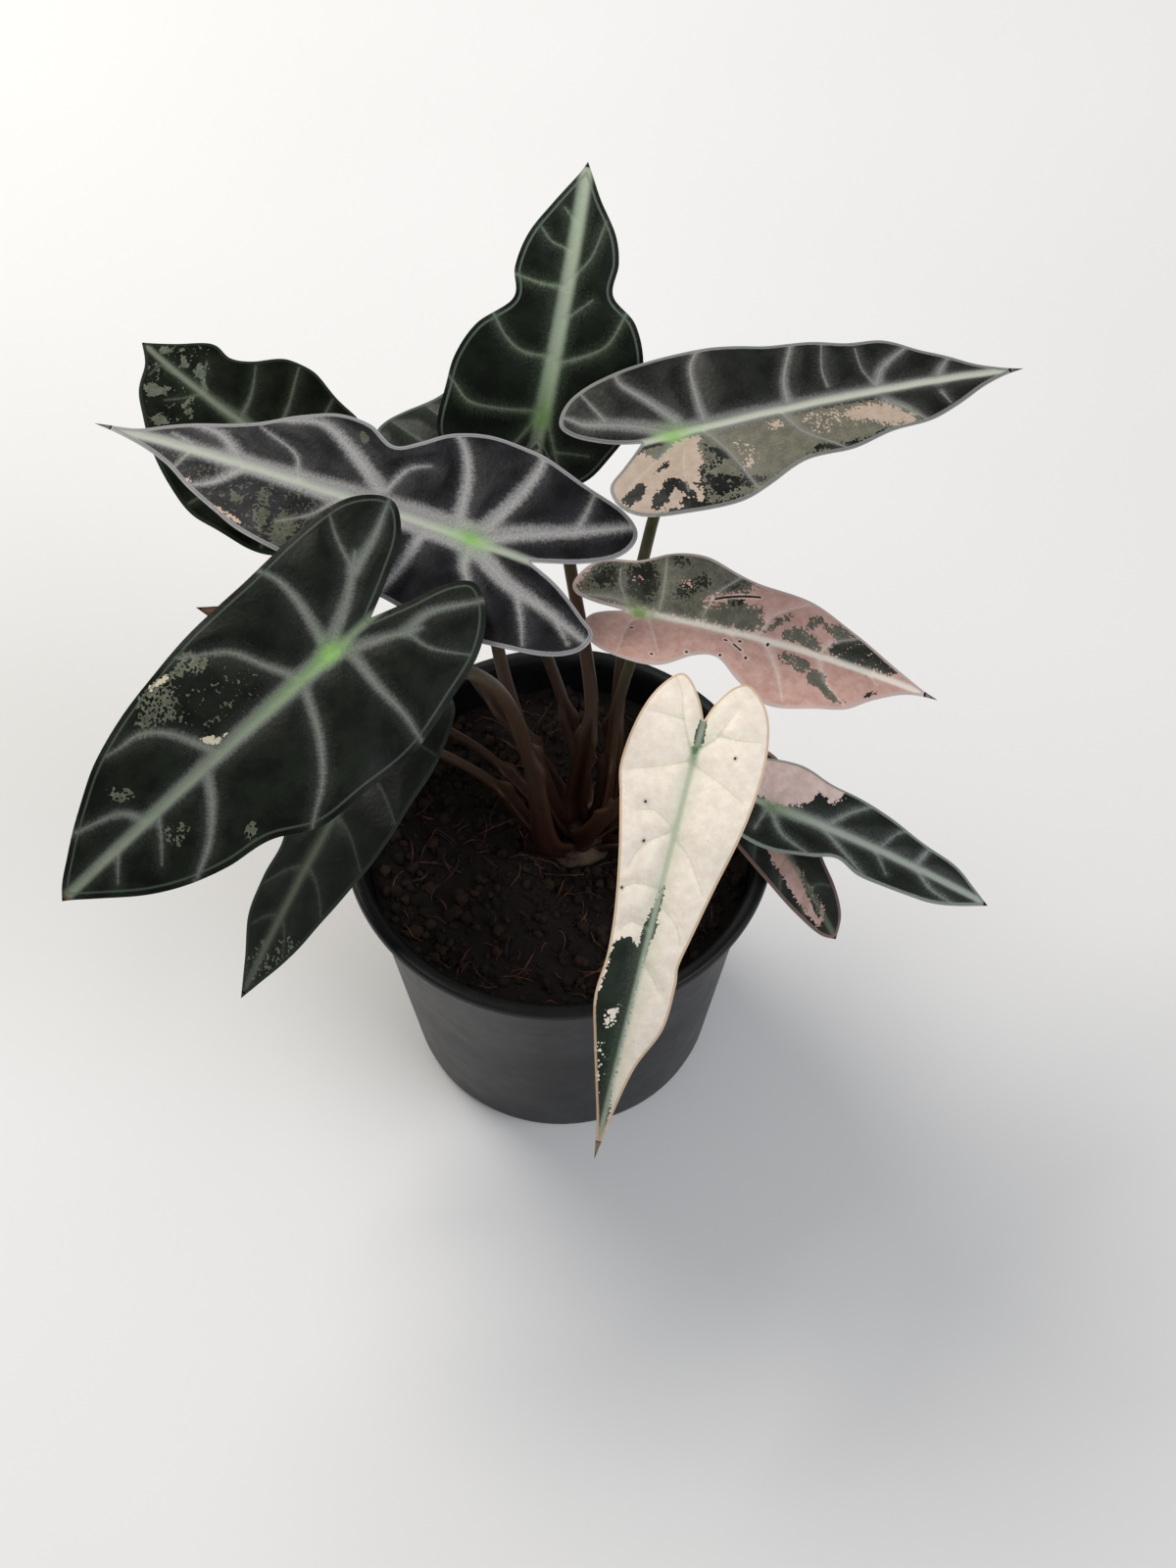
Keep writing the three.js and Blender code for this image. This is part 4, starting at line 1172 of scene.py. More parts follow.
RIGHT = Blade(
    "right", (21, 12, 185), 349, -2, -3, 20, 0, 12, 81,
    left=((-4, 0), (-11, 1), (-17, 3), (-18, 7), (-13, 13), (-3, 16), (5, 20), (13, 20), (23, 18),
          (34, 16), (46, 14), (56, 10), (66, 5), (74, 2), (81, 0)),
    right=((-4, 0), (-11, 2.5), (-13, 7), (-10, 13), (-2, 17), (8, 16), (16, 11), (22, 10), (28, 16),
           (36, 20), (47, 19), (56, 15), (64, 8), (73, 2), (81, 0)),
    wave=(1.2, 3, 0.4),
    finish=BladeFinish("leaf_right", green="26291f", deep="171914", vein="95958a", rib="ece6da",
                       grey="54544a", silver="6e6b5d", cream="c09c92", blush="b0897e", scar="e2d8cc",
                       rim="b8a8a4", tip="5c6a2e", foot="7a9a4e", trace=0.4, flush=8.0, line=1.6,
                       bright=0.7, lining=0.05),
    slot="mixed_blade",
    left_veins=((COSTA, (0, 0), (-6, 3), (-14, 3)), (THIN, (-3, 2), (-6, 7), (-7, 12)),
                (MAIN, (5, 1), (5, 8), (4, 19)), (MAIN, (16, 1), (18, 9), (23, 16)),
                (MAIN, (32, 3), (34, 8), (41, 13)), (MAIN, (48, 1), (50, 5), (57, 9))),
    right_veins=((THIN, (0, 2), (-2, 5), (-3, 15)), (THIN, (3, 2), (7, 12)),
                 (MAIN, (33, 0), (37, 8), (39, 14)), (MAIN, (48, 1), (50, 8), (54, 12)),
                 (FAINT, (24, 0), (29, 8)), (THIN, (62, 1), (64, 3))),
    base=Tissue.CREAM,
    patches=(
        Patch(Tissue.GREY, ((-16.5, -4.5), (-15, -10), (-9.5, -14.5), (-2, -16.5), (5.5, -22.5),
                            (16, -21.5), (24.5, -20.5), (26.5, -13.5), (17.5, -9.5), (17, -5.5),
                            (29, -8.5), (30.5, -3), (21, -1), (16, -1.5), (7, -0.5), (0.5, -1),
                            (-4.5, -1), (-13.5, -1.5)), 1.8),
        Patch(Tissue.GREEN, ((-15, -9.5), (-12, -11.5), (-8, -12.5), (-6.5, -8.5), (-10.5, -5),
                             (-14.5, -5.5)), 2.5, 0.9),
        Patch(Tissue.GREEN, ((-6, -12.5), (-2.5, -15), (1, -16.5), (3.5, -12), (4, -7), (1.5, -2.5),
                             (-2.5, -3.5), (-5, -7.5)), 2.0, 0.9),
        Patch(Tissue.GREEN, ((5, -19), (7.5, -19.5), (11, -16.5), (8.5, -15), (6.5, -16)), 1.2, 0.2),
        Patch(Tissue.GREEN, ((11, -11.5), (14, -14), (16, -12), (14, -9), (11, -6), (8, -7),
                             (8.5, -10)), 1.5, 0.5),
        Patch(Tissue.GREEN, ((19.5, -13), (21, -15.5), (25.5, -16.5), (25.5, -14), (21, -11)), 1.4, 0.6),
        Patch(Tissue.GREEN, ((21.5, -8.5), (25.5, -9.5), (25.5, -7.5), (22.5, -7)), 0.8),
        Patch(Tissue.CREAM, ((-4, -10.5), (-2, -11), (-1, -9.5), (-2.5, -8.5)), 0.8, -0.2),
        Patch(Tissue.CREAM, ((8.5, -11.5), (11, -12.5), (12.5, -10), (10, -8.5)), 0.9, -0.3),
        Patch(Tissue.GREY, ((33, -3), (35.5, -7), (38, -9), (38, -8), (36, -5.5), (34, -3)), 0.8),
        Patch(Tissue.GREY, ((37, -3), (38, -4.5), (42.5, -5.5), (44.5, -4.5), (46.5, -4), (48, -2),
                            (45, -1.5), (41.5, -2), (38.5, -1.5)), 1.0, 0.6),
        Patch(Tissue.GREY, ((43, -7), (43.5, -9), (46, -10.5), (47, -9), (52.5, -11), (55, -10),
                            (52.5, -7.5), (49.5, -7), (46.5, -8.5), (44, -6.5)), 1.0, 0.5),
        Patch(Tissue.GREEN, ((50, -2.5), (51, -5.5), (54, -8.5), (57.5, -9.5), (61, -8), (64, -6),
                             (68, -4), (66, -1.5), (62, -1), (59.5, 0.5), (55.5, 0),
                             (51.5, -1)), 1.4, 0.6),
        Patch(Tissue.GREY, ((37.5, 4), (39, 2.5), (42.5, 3), (45, 4.5), (43.5, 8),
                            (40.5, 6.5)), 1.0, 0.5),
        Patch(Tissue.GREY, ((45, 8.5), (46.5, 6), (49.5, 5.5), (51, 9.5), (54, 12), (56, 13), (51.5, 14),
                            (48.5, 11.5), (46, 10.5)), 0.8, 0.7),
        Patch(Tissue.GREEN, ((61, 8.5), (62.5, 6.5), (64, 5.5), (62.5, 8)), 0.8)),
    marks=(((18.5, -8.25), (21, -9.25), (25, -10.6), (29.5, -12)), ((25.4, 4.2), (27.4, 5.5)),
           ((34, 0.5), (34, 1.2)), ((23, 3.5), (23.4, 3.5)), ((26.6, 2.6), (26.9, 2.6)),
           ((22.5, 9), (22.5, 9.2)), ((14, 10.5), (14.2, 10.5)), ((29, 7.5), (29, 7.9)),
           ((-1, 6), (-0.7, 6)), ((5.5, 13.5), (5.7, 13.5))),
    midrib=(4.2, 2.0), vein_width=2.8)

FRONT = Blade(
    "front", (35, -28.5, 183), 255, -16, -5, 40, 0, 10, 109,
    left=((-8, 0), (-13.5, 2), (-18.5, 5.5), (-19.5, 9.5), (-13.5, 15), (-4, 17.5), (8, 17.5),
          (19.5, 16), (33, 13), (45.5, 10.5), (53.5, 9), (58.5, 9.5), (70, 9), (81.5, 4.5), (94.5, 2),
          (109, 0)),
    right=((-8, 0), (-12.5, 2), (-17.5, 5.5), (-18.5, 9), (-12.5, 13.5), (-3, 16.5), (8, 17.5),
           (16.5, 15.5), (29, 12.5), (43, 10), (54.5, 9), (66, 9.5), (77, 7), (88.5, 4), (99, 1.5),
           (109, 0)),
    wave=(0.7, 3, 0.5),
    finish=BladeFinish("leaf_front", green="1d2a1f", deep="121b14", vein="8c9a84", rib="a3ae9c",
                       cream="e4dccf", blush="dccfc2", scar="93a27e", rim="c2a68a", tip="8a9a48",
                       foot="3c5a38", rim_width=0.75, trace=0.85, feather=0.35, flush=6.0,
                       blush_width=5.0, foot_size=1.3, gloss=0.25, lining=0.08),
    slot="cream_blade",
    left_veins=((THIN, (0, 0), (-4, 4), (-9, 6), (-11.5, 7)), (THIN, (-5, 5), (-5, 10.5), (-6, 15.5)),
                (THIN, (4, 1), (7, 8), (10.5, 14.5)), (THIN, (23.5, 1), (27, 5), (35, 10.5)),
                (THIN, (40, 1), (44, 6), (48.5, 8)), (THIN, (55.5, 1), (58.5, 4), (61.5, 6))),
    right_veins=((THIN, (-1, 2), (-7, 5), (-13.5, 7), (-17.5, 9.5)),
                 (THIN, (-7, 5), (-7, 9.5), (-7, 14.5)),
                 (THIN, (3, 1), (6, 7), (9, 15.5)), (THIN, (21.5, 1), (26.5, 7), (33, 9.5)),
                 (THIN, (20.5, 1), (17.5, 6), (18.5, 10.5)), (THIN, (36, 1), (36, 6), (38, 9.5)),
                 (THIN, (46.5, 1), (45.5, 5), (48.5, 8))),
    base=Tissue.CREAM,
    patches=(
        Patch(Tissue.GREEN, ((36, 0), (36, -1), (46.5, -1), (55.5, 0), (69, 0), (85.5, 0), (99, -1),
                             (109, 0), (100, 4), (86.5, 8), (75, 9.5), (68, 9), (58.5, 8), (53.5, 8),
                             (50.5, 7), (49.5, 4), (51.5, 2), (46.5, 2), (43, 1)), 0.5),
        Patch(Tissue.CREAM, ((68, 6), (67, 3), (70, 3), (73, 5)), 1.0, 0.6),
        Patch(Tissue.CREAM, ((76, 8), (78, 4), (89.5, 3), (93.5, 5)), 1.2, -0.2),
        Patch(Tissue.GREEN, ((-8, -1), (-1, -1), (-1, 1), (-8, 1)), 0.3)),
    marks=(((25.5, 7), (25.7, 7)), ((38, 9.4), (38.2, 9.4)), ((0, -10), (0.2, -10)),
           ((16, 9), (16.1, 9))),
    midrib=(1.9, 0.9), vein_width=2.3)

LOWER_RIGHT = Blade(
    "lower_right", (57, -11, 128), 341, -9, 0, 20, -3, 12, 66,
    left=((-5, 0), (-10, 3), (-13, 8), (-7, 13), (3, 14.5), (12, 13), (21, 12.5), (31, 10.5), (42, 8),
          (53, 6), (60, 3), (66, 0)),
    right=((-5, 0), (-11, 4), (-12, 9), (-5, 12.5), (5, 13), (14, 11), (21, 8), (28, 10), (38, 10),
           (48, 8.5), (57, 5), (66, 0)),
    wave=(0.8, 2.5, 0.7),
    finish=BladeFinish("leaf_lower_right", green="181f18", deep="0e120d", vein="8a918b", rib="aab2a6",
                       cream="dcc6c0", blush="d0b2ac", scar="c4aaa4", rim="8a928a", tip="5c3424",
                       foot="6c8058", feather=0.9, foot_size=1.6, lining=0.12, bright=0.8, line=1.5),
    slot="mixed_blade",
    left_veins=((MAIN, (1, 3), (3, 8), (5, 14)), (MAIN, (17, 2), (21, 7), (27, 12)),
                (MAIN, (43, 2), (45, 7), (48, 10)), (THIN, (32, 2), (35, 7), (38, 9)),
                (MAIN, (-1, 2), (-7, 6))),
    right_veins=((MAIN, (1, 2), (5, 7), (12, 10)), (MAIN, (16, 1), (22, 5), (27, 8)),
                 (MAIN, (44, 1), (48, 4), (55, 5)), (THIN, (-1, 3), (-2, 9)), (THIN, (31, 1), (35, 6))),
    patches=(Patch(Tissue.CREAM, ((-15, -10), (-8, -16), (1, -18), (9, -18), (17, -14), (18, -11),
                                  (15, -7), (11, -8), (9, -4), (2, -1), (-4, -1), (-12, -3)), 1.0),),
    midrib=(4.4, 1.6), vein_width=2.4)

LOW_RIGHT = Blade(
    "low_right", (53, -1, 115), 307, -24, 8, 40, -4, 6, 49,
    left=((-5, 0), (-10, 3), (-13, 8), (-7, 12), (4, 12.5), (15, 10), (25, 8), (34, 7), (43, 4.5),
          (49, 0)),
    right=((-5, 0), (-11, 4), (-12, 9), (-5, 12), (6, 11), (17, 9.5), (27, 8), (36, 6), (44, 3.5),
           (49, 0)),
    wave=(0.6, 2, 0.2),
    finish=BladeFinish("leaf_low_right", green="1b221a", deep="0f130e", vein="5c6354", rib="6d7564",
                       cream="c8a8a0", blush="b8948a", scar="8c7c68", rim="8a706a", tip="6a4426"),
    slot="mixed_blade",
    ribs=((-4, 2.2, 2.2), (-1, 3.4, 3.4), (7, 4.9, 4.8), (18, 6, 6), (30, 7.2, 7.2)),
    patches=(Patch(Tissue.CREAM, ((8, 3), (13, 1), (18, 0), (26, -1), (38, -1), (41, 3), (31, 4.5),
                                  (24, 4.5), (15, 5)), 0.8),
             Patch(Tissue.GREEN, ((22, -0.5), (29, 0.5), (37, 1.5), (38, 0), (30, -1.5)), 0.8, 0.2)),
    midrib=(2.0, 0.9), vein_width=1.4)

LOWER_LEFT = Blade(
    "lower_left", (-48, 2, 140), 238, -19, 4, 32, 8, 6, 81,
    left=((-8, 0), (-15, 4), (-20, 9), (-16, 15), (-4, 17.5), (8, 17.5), (20, 17.5), (34, 15), (48, 12),
          (62, 8), (74, 3), (81, 0)),
    right=((-8, 0), (-15, 4), (-20, 9), (-17, 15), (-5, 17), (8, 17), (20, 16), (35, 10), (47, 10),
           (59, 8.5), (70, 4), (81, 0)),
    wave=(0.8, 2.5, 0.4),
    finish=BladeFinish("leaf_lower_left", green="10150f", deep="090c08", vein="3c423a", rib="525a4c",
                       grey="4a5244", silver="60665a", rim="262d27", tip="4e5a44", strength=0.8, haze=0.08),
    ribs=((-6, 2.4, 2.4), (-1, 4, 4), (8, 5.8, 5.8), (22, 7, 7), (38, 8.2, 8.4), (54, 9.3, 9.4)),
    patches=(Patch(Tissue.GREY, ((66, 2), (58, -7), (68, -8), (74, 0)), 2.0, -0.6),),
    midrib=(4.4, 2.6), vein_width=1.3)

BEHIND = Blade(
    "behind", (-24, 66, 172), 78, 8, 0, 16, 0, 6, 55,
    left=((-7, 0), (-14, 4), (-19, 11), (-15, 19), (-5, 25), (6, 27.5), (12, 26), (17, 21.5), (23, 14),
          (31, 9.5), (41, 5.5), (49, 2), (55, 0)),
    right=((-7, 0), (-14, 4), (-18, 10), (-14, 18), (-3, 23), (9, 24), (19, 22), (27, 17), (35, 11),
           (43, 7), (50, 3), (55, 0)),
    wave=(1.0, 2.5, 0.6),
    finish=BladeFinish("leaf_behind", green="151d15", deep="0c110c", vein="5e685e", rib="7a8a74",
                       rim="566058", tip="4e4a30", strength=0.8),
    ribs=((-5, 2.4, 2.4), (-1, 4, 4), (4, 6.2, 5.6), (14, 7.6, 6.9), (26, 9, 8.2), (38, 10.4, 9.3)),
    midrib=(2.8, 1.3), vein_width=1.8)

UNDER_LEFT = Blade(
    "under_left", (-51, 27, 132), 150, 6, 0, 26, 0, 8, 60,
    left=((-5, 0), (-11, 3), (-15, 8), (-12, 14), (-2, 17), (9, 17), (20, 14), (31, 11), (42, 7), (51, 3),
          (60, 0)),
    right=((-5, 0), (-11, 3), (-14, 8), (-11, 14), (-1, 16), (10, 16), (21, 13), (32, 10), (43, 6),
           (52, 2.5), (60, 0)),
    wave=(1.0, 2.5, 0.9),
    finish=BladeFinish("leaf_under_left", green="1a2018", deep="10140e", vein="4c3a2c", rib="4c2c1e",
                       grey="55523c", silver="5a3a28", cream="5e3226", blush="4a2219", rim="3c241c",
                       tip="5a1f14"),
    slot="mixed_blade",
    ribs=((-4, 2.2, 2.2), (0, 4, 4), (8, 5.3, 5.3), (21, 6.6, 6.6), (34, 7.8, 7.8)),
    patches=(Patch(Tissue.CREAM, ((44, -8), (50, 0), (47, 7), (64, 3), (64, -4)), 2.5),),
    midrib=(2.2, 1.0), vein_width=1.4)


# Stalks and stem


@dataclass(frozen=True)
class StalkFinish:
    """Smooth skin, reddish brown at the base and greener under the blade, with fine streaks."""

    name: str
    base: str = "2c120c"
    middle: str = "3a2615"
    top: str = "454e2d"
    wing: str = "4c3624"

    def material(self) -> bpy.types.Material:
        """Fade the colours along the stalk and streak them.

        Returns:
            The finished material.
        """
        g = Graph(self.name)
        run, wing = g.read("run"), g.read("wing")
        skin = g.read("skin", "Vector")
        streak = g.noise(g.stretch(skin, (1.0, 0.08, 1.0)), 1.6, 3.0, 0.6)
        mottle = g.noise(skin, 0.5, 2.0)
        tone = run + (mottle - 0.5) * 0.3
        colour = g.paint(g.step(tone, 0.05, 0.4), tint(self.base), tint(self.middle))
        colour = g.paint(g.step(tone, 0.5, 1.0), colour, tint(self.top))
        colour = g.paint(g.step(streak, 0.5, 0.75) * 0.45, colour, tint(self.base))
        colour = g.paint(wing * 0.5, colour, tint(self.wing))
        rough = 0.38 + streak * 0.2
        return g.finish(Base_Color=colour, Roughness=rough, Normal=g.bump(streak, 0.15),
                        Specular_IOR_Level=0.35)


@dataclass(frozen=True)
class BarkFinish:
    """Dry brown bark with slightly paler oval scars."""

    dark: str = "20130c"
    light: str = "3c2818"
    scar: str = "584330"

    def material(self) -> bpy.types.Material:
        """Mix the two browns of the bark and lay on the scars.

        Returns:
            The finished material.
        """
        g = Graph("stem_bark")
        where = g.position()
        bark = g.noise(where, 500.0, 4.0, 0.65)
        colour = g.paint(g.step(bark, 0.35, 0.65), tint(self.dark), tint(self.light))
        colour = g.paint(g.read("scar") * 0.75, colour, tint(self.scar))
        height = bark + g.noise(where, 1500.0, 2.0) * 0.4
        return g.finish(Base_Color=colour, Roughness=0.62 + bark * 0.2, Normal=g.bump(height, 0.4))


@dataclass
class Stem:
    """The short stem: a ringed knob with the scars of fallen leaves, tapering into the soil.

    scars are directions from the centre, each an azimuth and an elevation in degrees.
    """

    centre: Place = (5.0, 3.0, 83.0)
    radius: float = 11.0
    foot_radius: float = 3.0
    foot_depth: float = 18.0
    ring_gap: float = 2.4
    ring_depth: float = 0.35
    scars: tuple[Pair, ...] = ((250.0, 22.0), (292.0, 40.0), (205.0, 30.0), (330.0, 18.0), (30.0, 25.0),
                                (110.0, 35.0), (160.0, 18.0))
    scar_size: float = 0.3
    scar_squash: float = 1.8
    scar_rise: float = 0.35
    crust: float = 0.5
    sides: int = 72
    rings: int = 44
    finish: BarkFinish = BarkFinish()

    def profile(self, share: float) -> Point:
        """Give the plain section of the stem.

        Args:
            share: How far up the section, from 0 at the foot to 1 at the top of the knob.

        Returns:
            The radius, and the height over the centre.
        """
        foot = 0.2
        if share < foot:
            start = self.radius * math.sin(math.pi / 4)
            return (self.foot_radius + (start - self.foot_radius) * share / foot,
                    -self.foot_depth + (self.foot_depth - start) * share / foot)
        # From 45 degrees under level to straight up
        angle = math.pi * (-0.25 + 0.75 * (share - foot) / (1 - foot))
        return self.radius * math.cos(angle), self.radius * math.sin(angle)

    def build(self) -> None:
        """Turn the profile, then press in the rings and raise the scars."""
        corners, scar_field = [], []
        marks = [direction(*scar) for scar in self.scars]
        top = 0.995
        for ring in range(self.rings):
            radius, height = self.profile(ring / (self.rings - 1) * top)
            for turn in turns(self.sides):
                spot = np.array([radius * math.cos(turn), radius * math.sin(turn), height])
                out = spot / max(np.linalg.norm(spot), 1e-6)
                gaps = [np.linalg.norm((out - mark) * (1.0, 1.0, self.scar_squash)) for mark in marks]
                scar = math.exp(-(min(gaps) / self.scar_size) ** 4)
                rough = noise.fractal(Vector(spot * 0.35), 0.8, 2.0, 4) * self.crust
                fold = self.ring_depth * math.sin(2 * math.pi * (height + rough) / self.ring_gap)
                rise = fold * (1 - scar) + rough + self.scar_rise * scar - self.crust
                corners.append(spot + out * rise)
                scar_field.append(scar)
        faces = tube_faces(self.rings, self.sides)
        fields = {"scar": np.array(scar_field)}
        piece = build_mesh("stem_crown", np.array(corners) + self.centre, faces, fields)
        dress(piece, self.finish.material(), "stem", "stem")


STEM = Stem()


@dataclass
class Stalk:
    """The stalk under one blade, with its grooved inner side and the winged sheath at its base.

    base is its azimuth and elevation on the stem, via the points it passes, radii its size at
    base and blade. sheath is the share of its length that the wings run up, spread their width.
    Along the stalk, swell and collar are how far its thicker ends reach and how much thicker they
    are, fade is how soon the wings end, and flare how much wider they get just before that, how
    far before their end and over what length. Round it, wing is the place and width of each wing
    in radians, and groove the width of the groove and its depth, plain and between the wings.
    """

    blade: Blade
    base: Pair
    via: tuple[Place, ...]
    radii: Pair
    sheath: float = 0.34
    spread: float = 0.45
    finish: StalkFinish = StalkFinish("stalk_skin")
    swell: Pair = (0.05, 0.5)
    collar: Pair = (0.02, 0.35)
    wing: Pair = (0.85, 0.26)
    groove: Triple = (0.55, 0.12, 0.4)
    fade: float = 0.04
    flare: Triple = (0.8, 0.05, 0.03)

    # How straight it leaves the stem and meets the blade, where it starts off the stem and in it,
    # how far under the middle of the blade it ends and is joined, and the power that it thins by
    seat: float = 6.0
    clear: float = 0.3
    sunk: float = 2.0
    under: float = 0.7
    joined: float = 0.5
    taper: float = 1.6
    steps: int = 24
    sides: int = 24
    rings: int = 64

    def route(self) -> np.ndarray:
        """Lead the centre line from inside the stem to the middle of the blade.

        Returns:
            Places along it, one a row.
        """
        outward = direction(*self.base)
        centre = np.array(STEM.centre)
        end = self.blade.place(np.zeros((1, 2)), np.array([-self.under]))[0]
        points = [centre + outward * (STEM.radius + away) for away in (self.clear, self.seat)]
        points += [*map(np.array, self.via), end - self.blade.normal * self.seat, end]
        curve = flowing_path(points, self.steps)
        sunk = centre + outward * (STEM.radius - self.sunk)
        joined = self.blade.place(np.zeros((1, 2)), np.array([-self.joined]))
        return np.vstack([sunk, curve, joined])

    def frames(self, path: np.ndarray) -> tuple[np.ndarray, np.ndarray]:
        """Find the directions across the stalk.

        Args:
            path: Places along its centre line, one a row.

        Returns:
            At each place, the direction towards the plant's middle and the one at right angles.
        """
        run = unit(np.gradient(path, axis=0))
        towards = (np.array(STEM.centre) - path) * (1, 1, 0)
        towards = unit(towards, 1e-6) + (0, 0, 1.0)
        towards = unit(towards - run * np.sum(towards * run, axis=1)[:, None])
        return towards, np.cross(run, towards)

    def section(self, along: float) -> tuple[np.ndarray, np.ndarray]:
        """The radius round the stalk at one height, and how much of it is wing.

        Args:
            along: The share of the stalk's length from the stem.

        Returns:
            The radius for each side in millimetres, and the wing's share from 0 to 1.
        """
        turned = np.abs(np.linspace(-math.pi, math.pi, self.sides, endpoint=False))
        (low, swell), (high, collar) = self.swell, self.collar
        (place, width), (gap, shallow, deep) = self.wing, self.groove
        wider, before, over = self.flare
        thick, thin = self.radii
        plain = thin + (thick - thin) * (1 - along) ** self.taper
        ends = 1 + swell * math.exp(-along / low) + collar * math.exp(-(1 - along) / high)
        reach = max(0.0, min(1.0, (self.sheath - along) / self.fade))
        flare = wider * math.exp(-((along - self.sheath + before) / over) ** 2)
        wing = np.exp(-((turned - place) / width) ** 2) * reach * (1 + flare)
        groove = np.exp(-(turned / gap) ** 2) * (shallow + deep * reach)
        return plain * ends * (1 + self.spread * 2 * wing - groove), np.clip(wing, 0, 1)

    def build(self) -> None:
        """Make the stalk as one closed tube."""
        path = spaced(self.route(), 0.5)
        path = path[np.linspace(0, len(path) - 1, self.rings).round().astype(int)]
        towards, beside = self.frames(path)
        angle = np.linspace(-math.pi, math.pi, self.sides, endpoint=False)
        cosine, sine = np.cos(angle), np.sin(angle)
        corners, run, wings, skin = [], [], [], []
        for k, spot in enumerate(path):
            along = k / (self.rings - 1)
            radius, wing = self.section(along)
            out = towards[k] * cosine[:, None] + beside[k] * sine[:, None]
            corners.append(spot + out * radius[:, None])
            run.append(np.full(self.sides, along))
            wings.append(wing)
            length = along * self.rings * 2
            skin.append(np.column_stack([2 * cosine, np.full(self.sides, length), 2 * sine]))
        fields = {"run": np.concatenate(run), "wing": np.concatenate(wings), "skin": np.vstack(skin)}
        faces = tube_faces(self.rings, self.sides)
        piece = build_mesh(f"{self.blade.name}_stalk", np.vstack(corners), faces, fields)
        dress(piece, self.finish.material(), "stalk", f"stalk_{self.blade.name}")


STALKS = (
    Stalk(TOP, (95, 66), ((9, 13, 140), (3, 43, 165)), (2.2, 1.6)),
    Stalk(UPPER_RIGHT, (45, 40), ((17, 20, 150), (24, 34, 190)), (2.1, 1.5)),
    Stalk(UPPER_LEFT, (170, 66), ((-14, 15, 150), (-18, 18, 185)), (2.2, 1.6)),
    Stalk(BACK_LEFT, (115, 40), ((-22, 30, 125), (-52, 57, 158)), (1.8, 1.3)),
    Stalk(LEFT, (217, 50), ((-8, 1, 135), (-20, -6, 183)), (2.6, 1.7)),
    Stalk(RIGHT, (10, 66), ((16, 13, 140), (20, 14, 165)), (2.0, 1.4)),
    Stalk(FRONT, (290, 66), ((17, -9, 127), (29, -18, 161)), (2.1, 1.5)),
    Stalk(LOWER_RIGHT, (10, 40), ((28, 5, 110), (44, -5, 123)), (1.8, 1.3)),
    Stalk(LOW_RIGHT, (335, 40), ((30, -4, 98), (46, -1, 105)), (1.6, 1.2)),
    Stalk(LOWER_LEFT, (181, 40), ((-18, 10, 105), (-38, 12, 122)), (1.8, 1.2)),
    Stalk(BEHIND, (80, 40), ((0, 32, 120), (-14, 52, 150)), (1.9, 1.4)),
    Stalk(UNDER_LEFT, (148, 40), ((-20, 19, 106), (-36, 23, 118)), (1.7, 1.1)),
)


# Pot and soil


@dataclass(frozen=True)
class PlasticFinish:
    """Satin black plastic with fine scuffs, scratches and a cloudy film of dust."""

    plain: str = "0b0c0d"
    dust: str = "2b2c2a"
    worn: str = "3c3e40"

    def material(self) -> bpy.types.Material:
        """Lay dust and wear on the plastic.

        Returns:
            The finished material.
        """
        g = Graph("pot_plastic")
        place = g.stretch(g.position(), (1 / MM, 1 / MM, 1 / MM))
        dust = g.noise(place, 0.12, 4.0, 0.6)
        scuff = g.step(g.noise(g.stretch(place, (0.2, 0.2, 2.4)), 0.5, 3.0, 0.7), 0.58, 0.7)
        scratch = g.step(g.noise(g.stretch(place, (2.0, 0.15, 0.3)), 0.8, 2.0), 0.66, 0.7)
        colour = g.paint(g.step(dust, 0.45, 0.8) * 0.25, tint(self.plain), tint(self.dust))
        colour = g.paint(scuff * 0.12 + scratch * 0.1, colour, tint(self.worn))
        rough = 0.32 + dust * 0.2 + scuff * 0.1
        grain = g.noise(place, 2.5, 2.0)
        return g.finish(Base_Color=colour, Roughness=rough, Normal=g.bump(grain, 0.05),
                        Specular_IOR_Level=0.25)


